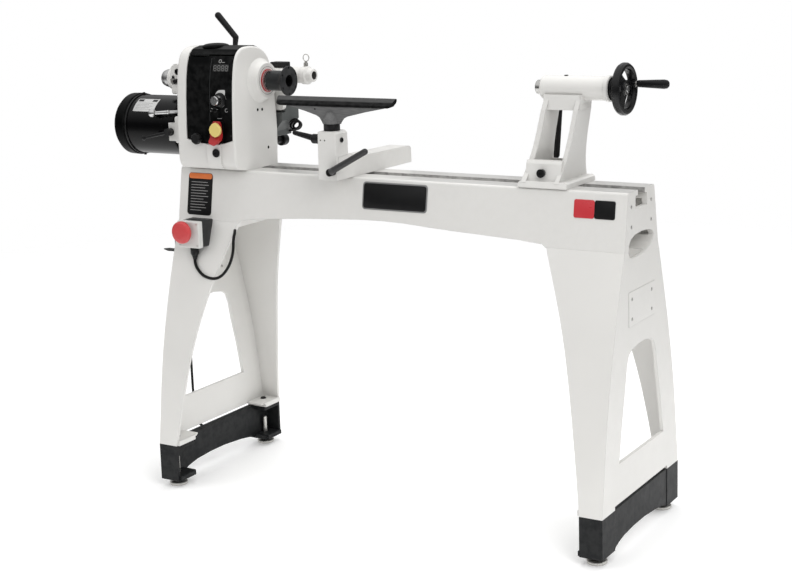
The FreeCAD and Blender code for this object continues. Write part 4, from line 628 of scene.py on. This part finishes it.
# ------------------------------------------------------------------ control panel
# Front of the headstock casting: (y, z), from the bottom up
CASTING_FRONT = [(-122.5, 936), (-123, 953), (-123.2, 985), (-121, 1030), (-118.5, 1070),
                 (-114, 1117), (-107.5, 1150), (-97, 1178)]
PANEL_THICK = 1.5


def face_y(z):
    """Where the panel's face lies at height z."""
    for (y0, z0), (y1, z1) in zip(CASTING_FRONT, CASTING_FRONT[1:]):
        if z0 <= z <= z1:
            return y0 + (y1 - y0) * (z - z0) / (z1 - z0) - PANEL_THICK


def panel_up(z):
    """The direction up the panel, taken over 8 mm round height z."""
    return Vector((0, face_y(z + 4) - face_y(z - 4), 8)).normalized()


def on_panel(x, z, out=0.0):
    return at(x, face_y(z) - out, z)


def panel_plate(name, x, z, size, thick, mat, rim, base=0.0, steps=8):
    plate(name, "headstock", on_panel(x, z), X, panel_up(z), size, thick, mat, rim, base, steps)


DISPLAY_X, DISPLAY_Z = -486.5, 1146.2
panel_plate("display_rim", DISPLAY_X, DISPLAY_Z, (56, 24, 3), 0.7, "panel_black", rim=0.3,
            base=-0.5)
panel_plate("display_lens", DISPLAY_X, DISPLAY_Z, (52.5, 20.5, 2), 1.0, "lens_black", rim=0.2)

# Seven unlit bars of a digit: (across, up, width, height), from the digit's middle
DIGIT_PITCH = 12.8
DIGIT_BARS = [(0, 6.6, 6.4, 1.5), (0, 0, 6.4, 1.5), (0, -6.6, 6.4, 1.5),
              (-4.1, 3.3, 1.5, 5.2), (4.1, 3.3, 1.5, 5.2),
              (-4.1, -3.3, 1.5, 5.2), (4.1, -3.3, 1.5, 5.2)]
up = panel_up(DISPLAY_Z)
for digit in range(4):
    for k, (x, y, width, height) in enumerate(DIGIT_BARS):
        x += (digit - 1.5) * DIGIT_PITCH
        centre = on_panel(DISPLAY_X, DISPLAY_Z) + X * (x / 1000) + up * (y / 1000)
        plate("display_digit%d_%d" % (digit, k), "headstock", centre, X, up,
              (width, height, 0.6), 1.15, "digit_grey", rim=0.1, base=0.7, steps=3)

MARK_BASE, MARK_THICK = -0.3, 0.45  # marks start inside the panel and stand just proud


def arc(name, x, z, stations, mat="grey_mark", steps=28):
    """A curved mark round (x, z). stations are (degrees, inner radius, outer radius)."""
    verts, faces = [], []
    for i in range(steps + 1):
        along = i / steps * (len(stations) - 1)
        k = min(int(along), len(stations) - 2)
        degrees, inner, outer = (a + (b - a) * (along - k)
                                 for a, b in zip(stations[k], stations[k + 1]))
        for radius in (inner, outer):
            dx, dz = polar(radius, degrees)
            for out in (MARK_BASE, MARK_THICK):
                verts.append(on_panel(x + dx, z + dz, out))
    end = steps * 4
    for a in range(0, end, 4):
        b = a + 4
        faces += [(a + 1, b + 1, b + 3, a + 3), (a, a + 2, b + 2, b),
                  (a, b, b + 1, a + 1), (a + 2, a + 3, b + 3, b + 2)]
    faces += [(0, 1, 3, 2), (end, end + 2, end + 3, end + 1)]
    make(name, "headstock", verts, faces, mat, angle=30)


DIAL_X, DIAL_Z = -487.0, 1063.0
TOGGLE_Z = 1036
arc("dial_scale", DIAL_X, DIAL_Z, [
    (147, 18.9, 19.2), (130, 19.0, 21.6), (112, 19.1, 24.6), (96, 19.2, 26.0),
    (78, 19.3, 27.2), (59, 19.4, 30.6), (50, 19.4, 25.8), (40, 19.4, 20.6)],
    "white_mark", steps=56)
arc("dial_ring", DIAL_X, DIAL_Z, [(5, 20.0, 20.6), (34, 20.0, 20.6)])
arc("dial_ring_low", DIAL_X, DIAL_Z, [(-75, 20.0, 20.5), (-40, 20.0, 20.5)])
arc("mark_left", -515, TOGGLE_Z, [(-150, 3.8, 5.2), (120, 3.8, 5.2)])
arc("mark_right", -465.6, TOGGLE_Z, [(60, 3.8, 5.2), (330, 3.8, 5.2)])
arc("mark_top_ring", -492, 1164.5, [(0, 3.4, 4.8), (180, 3.4, 4.8), (359.9, 3.4, 4.8)])

# Straight marks: name, x, z, (width, height, corner radius)
for name, x, z, size in (
    ("mark_top_bar", -481, 1161.5, (10, 1.5, 0.5)),
    ("mark_mid_bar", -497, 1038, (7, 1.2, 0.5)),
    ("mark_switch_bar", -489, 1014, (15, 1.4, 0.5)),
):
    panel_plate(name, x, z, size, MARK_THICK, "grey_mark", rim=0.1, base=MARK_BASE, steps=3)

turned("toggle_nut", "headstock", on_panel(-504, TOGGLE_Z, -0.6), -Y,
       [(0, 7.2), (1.2, 7.2), (1.6, 6.4), (1.6, 3.5)], n=6, angle=20)
# A thin tube along the seam between the belt door and the panel, lighter than the panel: a painted
# highlight.
tube("panel_seam_highlight", "headstock", 0.9,
     [(-520.9, face_y(z) - 0.25, z) for z in (1006, 1040, 1075, 1110, 1145, 1172)],
     "seam_sheen", n=10)
for i, (x, z) in enumerate(((-515, 1171), (-453, 1171), (-515, 1000), (-453, 968))):
    screw("panel_screw_%d" % i, "headstock", on_panel(x, z, -0.3), -Y, (2.5, 0.9, 1.1))

# ------------------------------------------------------------------ headstock casting
turned("nose_circle", "headstock", at(-416.05, 0, AXIS_Z), X,
       [(0, 36.8), (0.35, 36.9), (0.35, 37.6), (0, 37.7)], n=96, capped=False)
turned("nose_inner_circle", "headstock", at(-412.6, 0, AXIS_Z), X,
       [(0, 27.2), (0.4, 27.3), (0.4, 28.0), (0, 28.1)], "white_mark", n=72, capped=False)
# The cap on the front end of the eccentric shaft
screw("cam_end_cap", "headstock_cam", at(-499, -132.8, 922), -Y, (11.6, 2.2, 5.0),
      "plastic_black", depth=1.8)
for i, (y, z) in enumerate(((-18, 1028), (2, 1027), (23, 921))):
    turned("side_plug_%d" % i, "headstock", at(-441.4, y, z), X,
           [(0, 5.0), (0.8, 5.0), (1.1, 4.4), (0.7, 2.0)], "panel_black", n=24)

# Screws facing the front: name, place, (head radius, head height, socket radius)
for name, place, size in (
    ("boss_screw_upper", (-712, -33.7, 1112), (4.0, 3.2, 2.0)),
    ("boss_screw_lower", (-664, -33.7, 1074), (4.0, 3.2, 2.0)),
    ("boss_screw_right", (-652, -33.7, 1112), (3.4, 2.6, 1.7)),
    ("bracket_screw_0", (-660, -73.7, 946), (4.2, 3.4, 2.1)),
    ("bracket_screw_1", (-660, -73.7, 996), (4.2, 3.4, 2.1)),
):
    screw(name, "headstock", at(*place), -Y, size)

# ------------------------------------------------------------------ drive box and rear arm
FIN_PITCH = 9.5
for k in range(7):
    plate("drive_fin_%d" % k, "headstock", at(-476, 158, 980 + k * FIN_PITCH), -X, Z,
          (84, 4.0, 1.5), 5.0, "drive_box_dark", rim=0.6, base=-1, steps=4)
for k, x in enumerate((-506, -490)):
    turned("drive_gland_%d" % k, "headstock", at(x, 116, 937), -Z,
           [(0, 7.6), (6, 7.6), (6.5, 7), (11, 6.6), (12, 5)], "plastic_black", n=28)
tube("drive_cable_loop", "headstock", 3.0, [
    (-450, 120, 972), (-437, 122, 980), (-420, 124, 987), (-409, 126, 983), (-407, 128, 972),
    (-415, 130, 963), (-431, 131, 960), (-441, 133, 966), (-434, 135, 978), (-419, 137, 982),
    (-411, 139, 974), (-416, 141, 965), (-430, 143, 959), (-440, 145, 965), (-432, 147, 976),
    (-420, 148, 977), (-415, 148, 968), (-424, 146, 958), (-452, 140, 952)])
tube("drive_cable_motor", "headstock", 4.0, [
    (-490, 116, 928), (-494, 116, 914), (-540, 112, 905), (-600, 104, 902),
    (-640, 96, 905), (-664, 92, 916), (-676, 88, 928)])
plate("arm_clip", "headstock", at(-447, 104, 1135.5), X, Y, (50, 30, 4), 12.0,
      "plastic_black", rim=2.0, base=-3)
for k in range(2):
    screw("arm_screw_%d" % k, "headstock", at(-526 + 34 * k, 127.8, 1112), Y, (6.0, 5.0, 2.8))


# ------------------------------------------------------------------ faceplate
def around_axis(x, radius, degrees):
    """A point round the spindle axis. Degrees go from the back up to the top."""
    y, z = polar(radius, degrees)
    return at(x, y, AXIS_Z + z)


SPINDLE = "spindle_assembly"
THREAD_CREST, THREAD_ROOT = 15.8, 14.9
SET_SCREW_DEGREES = 125
screw("faceplate_set_screw", SPINDLE, around_axis(-397, 24.2, SET_SCREW_DEGREES),
      Vector((0, *polar(1, SET_SCREW_DEGREES))), (2.9, 1.6, 1.5))
# Black rings lining the mouths of the six holes: painted shade.
for k in range(6):
    turned("faceplate_hole_shade_ring_%d" % k, SPINDLE, around_axis(-345.05, 35, 30 + 60 * k), X,
           [(0, 3.3), (0.12, 3.2), (0.12, 2.5), (-0.4, 2.32)], "panel_black", n=28,
           capped=False)
thread = [(1.3 * i + 0.65 * (i > 0), THREAD_ROOT if i % 2 else THREAD_CREST)
          for i in range(18)]
turned("faceplate_thread", SPINDLE, at(-371.0, 0, AXIS_Z), X,
       [(0, THREAD_CREST)] + thread + [(24.6, THREAD_CREST)], "panel_black", n=64,
       capped=False)
turned("faceplate_bore_ring", SPINDLE, at(-345.1, 0, AXIS_Z), X,
       [(0, 17.2), (0.15, 17.1), (0.15, 16.2), (0, 16.1)], n=64, capped=False)
# Black discs standing for the two spanner holes in the hub: painted shade.
for k in range(2):
    turned("faceplate_spanner_hole_shade_%d" % k, SPINDLE, around_axis(-402.6, 24, 20 + 180 * k), -X,
           [(0, 2.6), (0.6, 2.4), (0.6, 1.4)], n=20)

# ------------------------------------------------------------------ motor
MOTOR_Y, MOTOR_Z, MOTOR_R = 20.0, 972.0, 83.0


def wrap(name, ends, degrees, heights, mat, rim=0.5, n=24):
    """A thin plate bent round the motor.

    ends are its x limits. degrees run from the front up to the top. heights are those of
    its inner and outer faces over the motor's shell.
    """
    (x0, x1), (a0, a1) = ends, degrees
    r0, r1 = MOTOR_R + heights[0], MOTOR_R + heights[1]
    section = ((x0, r0), (x0, r1 - 0.2), (x0 + rim, r1), (x1 - rim, r1), (x1, r1 - 0.2),
               (x1, r0))
    rings = []
    for i in range(n + 1):
        ring = []
        for x, r in section:
            forward, rise = polar(r, a0 + (a1 - a0) * (i / n))
            ring.append(at(x, MOTOR_Y - forward, MOTOR_Z + rise))
        rings.append(ring)
    loft(name, "motor", rings, mat, angle=40)


wrap("rating_plate", (-852, -776), (31.5, 64), (-0.2, 0.8), "rating_plate")
for letter, ends in (("a", (-848, -830)), ("b", (-798, -781))):
    wrap("rating_window_" + letter, ends, (55.5, 61.5), (0.5, 1.0), "plate_charcoal", rim=0.2,
         n=8)
for k, width in enumerate((62, 50, 58, 44, 54)):
    low = 36 + 3.6 * k
    wrap("rating_line_%d" % k, (-846, -846 + width), (low, low + 0.9), (0.6, 0.95),
         "grey_mark", rim=0.1, n=3)
wrap("motor_band_joint", (-871, -868), (-140, 220), (-0.2, 3.2), "bolt_black", rim=0.6, n=96)
for k, degrees in enumerate((93, 183, 273)):
    forward, rise = polar(1, degrees)
    screw("fan_cover_screw_%d" % k, "motor",
          at(-871, MOTOR_Y - 86.0 * forward, MOTOR_Z + 86.0 * rise),
          Vector((0, -forward, rise)), (3.6, 3.4, 1.6))

# The terminal box on the back of the motor
BOX_X, BOX_Y, BOX_Z = -790, MOTOR_Y + 74, MOTOR_Z + 8
BOX_OUT = Vector((0, 1, 0.05)).normalized()
BOX_UP = BOX_OUT.cross(X)
plate("terminal_box", "motor", at(BOX_X, BOX_Y, BOX_Z), X, BOX_UP, (84, 62, 8), 30.0,
      "fan_cover_black", rim=3.0, base=-6)
plate("terminal_lid", "motor", at(BOX_X, BOX_Y, BOX_Z), X, BOX_UP, (80, 58, 7), 33.0,
      "motor_black", rim=1.4, base=29)
for k, (dx, dz) in enumerate(((-34, -23), (34, -23), (-34, 23), (34, 23))):
    screw("terminal_screw_%d" % k, "motor", at(BOX_X + dx, BOX_Y + 32.6, BOX_Z + dz), BOX_OUT,
          (3.0, 1.8, 1.3))

# ------------------------------------------------------------------ tailstock and handwheel
turned("barrel_collar", "tailstock", at(589.2, 0, AXIS_Z), X,
       [(0, 27.0), (0, 22.0), (3.6, 21.0), (4.4, 20.0), (4.4, 9.0), (0, 9.0)], n=56,
       capped=False)
screw("tail_cam_cap", "tailstock_cam", at(436, -78.9, 906), -Y, (10.6, 2.0, 4.6),
      "plastic_black", depth=1.6)
screw("quill_key_screw", "tailstock", at(470, 0, 1134.6), Z, (5.0, 2.2, 2.5))
screw("wheel_set_screw", "wheel", at(603.5, 0, 1125.6), Z, (3.4, 1.4, 1.7))
turned("leadscrew_washer", "wheel", at(625.2, 0, AXIS_Z), X,
       [(0, 8.4), (0, 13.0), (1.6, 13.0), (2.0, 12.4), (2.0, 8.4)], "zinc", n=36,
       capped=False)
turned("handle_collar", "wheel_grip", at(631.8, 45.0, 1115), X,
       [(0, 7.4), (2.6, 7.8), (3.2, 7.2)], "zinc", n=32)

# ------------------------------------------------------------------ tool rest
REST_Y, REST_Z = -125, 972
turned("rest_set_screw_seat", "rest_base", at(-105.0, REST_Y, REST_Z), X,
       [(0, 9.4), (1.2, 9.2), (1.6, 8.6), (1.6, 7.0), (1.2, 6.8)], "zinc", n=40,
       capped=False)
screw("rest_set_screw", "rest_base", at(-104.2, REST_Y, REST_Z), X, (6.2, 4.6, 3.2))
for k, x in enumerate((-150, -137)):
    turned("rest_pin_%d" % k, "rest_base", at(x, -149.7, REST_Z), -Y,
           [(0, 1.9), (0.5, 1.9), (0.6, 1.3)], n=20)
# Black discs standing for two holes in the web of the rest: painted shade.
for k, (x, z) in enumerate(((-177, 1049), (-127.5, 1036.5))):
    turned("rest_hole_shade_%d" % k, "rest_blade", at(x, -129.4, z), -Y,
           [(0, 2.4), (0.35, 2.3), (0.35, 1.0)], n=24)
turned("ratchet_cap", "rest_lock", at(-192, REST_Y, REST_Z), -X,
       [(0, 7.5), (1.6, 7.0), (2.2, 5.6), (2.2, 0.4)], n=36)

# ------------------------------------------------------------------ floor
FLOOR_RADIUS = 4.3
FLOOR_SIDES = 96
mesh = bpy.data.meshes.new("floor")
rim_points = [(FLOOR_RADIUS * math.cos(2 * math.pi * i / FLOOR_SIDES),
               FLOOR_RADIUS * math.sin(2 * math.pi * i / FLOOR_SIDES), 0.0)
              for i in range(FLOOR_SIDES)]
mesh.from_pydata(rim_points, [], [tuple(range(FLOOR_SIDES))])
floor = bpy.data.objects.new("floor", mesh)
scene.collection.objects.link(floor)
shader, bsdf = new_material("floor_pale")
distance = shader.vector_math("LENGTH", shader.coords)["Value"]
shader.feed(bsdf, {
    "Base Color": shader.tint((0.93, 0.93, 0.927), vary=0.008, scale=2.0),
    "Roughness": 0.9,
    "Specular IOR Level": 0.1,
    "Emission Color": (1.0, 1.0, 1.0),
    "Emission Strength": 0.16,
    # The floor fades out towards its rim
    "Alpha": shader.ramp(distance, start=1.6, stop=4.2, low=1.0, high=0.0),
})
mesh.materials.append(MATERIALS["floor_pale"])

# ------------------------------------------------------------------ world
# White to the camera. For all other rays it is dim near the horizon and bright above and below.
world = bpy.data.worlds.new("studio")
scene.world = world
world.use_nodes = True
sky = Shader(world.node_tree, "Generated")
from_camera = sky.add("LightPath").outputs["Is Camera Ray"]
steepness = sky.math("ABSOLUTE", sky.part(sky.coords, "Z"))
glow = sky.ramp(steepness, start=0.10, stop=0.62, low=0.10, high=0.92)
sky.feed(world.node_tree.nodes["Background"],
         {0: (1.0, 1.0, 1.0), 1: sky.mix(from_camera, glow, 1.0)})


# ------------------------------------------------------------------ lights
def area(name, place, target, size, power):
    """A white rectangular light aimed at target, unseen in reflections."""
    light = bpy.data.lights.new(name, "AREA")
    light.shape = "RECTANGLE"
    light.size, light.size_y = size
    light.energy = power
    light.color = (1, 1, 1)
    obj = bpy.data.objects.new(name, light)
    scene.collection.objects.link(obj)
    obj.location = place
    aim = Vector(target) - Vector(place)
    obj.rotation_euler = aim.to_track_quat("-Z", "Y").to_euler()
    obj.visible_glossy = False


area("key", place=(3.4, -2.2, 3.0), target=(0.1, 0, 0.7), size=(2.4, 2.4), power=64)
area("fill", place=(-3.0, -3.2, 2.2), target=(-0.2, 0, 0.7), size=(2.2, 2.2), power=20)
area("top", place=(0.0, 0.4, 3.6), target=(0, 0, 0.8), size=(3.0, 2.0), power=42)
area("rim", place=(0.5, 3.4, 2.6), target=(0, 0, 0.8), size=(2.6, 1.6), power=22)

scene.view_settings.view_transform = "Standard"
scene.view_settings.look = "None"
scene.view_settings.exposure = 0.0
scene.view_settings.gamma = 1.0

# ------------------------------------------------------------------ camera
# Yaw turns left from +Y, pitch tips down, and roll turns about the line of sight
YAW, PITCH, ROLL = (math.radians(a) for a in (30.56057, 10.54982, -1.60720))
forward = Vector((-math.sin(YAW) * math.cos(PITCH), math.cos(YAW) * math.cos(PITCH),
                  -math.sin(PITCH)))
level_right = Vector((math.cos(YAW), math.sin(YAW), 0))
level_up = level_right.cross(forward)
camera_right = level_right * math.cos(ROLL) + level_up * math.sin(ROLL)
camera_up = level_up * math.cos(ROLL) - level_right * math.sin(ROLL)
rotation = Matrix((camera_right, camera_up, -forward)).transposed()

camera_data = bpy.data.cameras.new("camera")
camera = bpy.data.objects.new("camera", camera_data)
scene.collection.objects.link(camera)
place = at(2074.860, -3412.874, 1456.752)
camera.matrix_world = Matrix.Translation(place) @ rotation.to_4x4()
camera_data.sensor_fit = "HORIZONTAL"
camera_data.sensor_width = 36.0
camera_data.lens = 70.81994273
camera_data.shift_x = -0.0352929293
camera_data.shift_y = -0.0671338384
camera_data.clip_start = 0.05
camera_data.clip_end = 300.0
scene.camera = camera
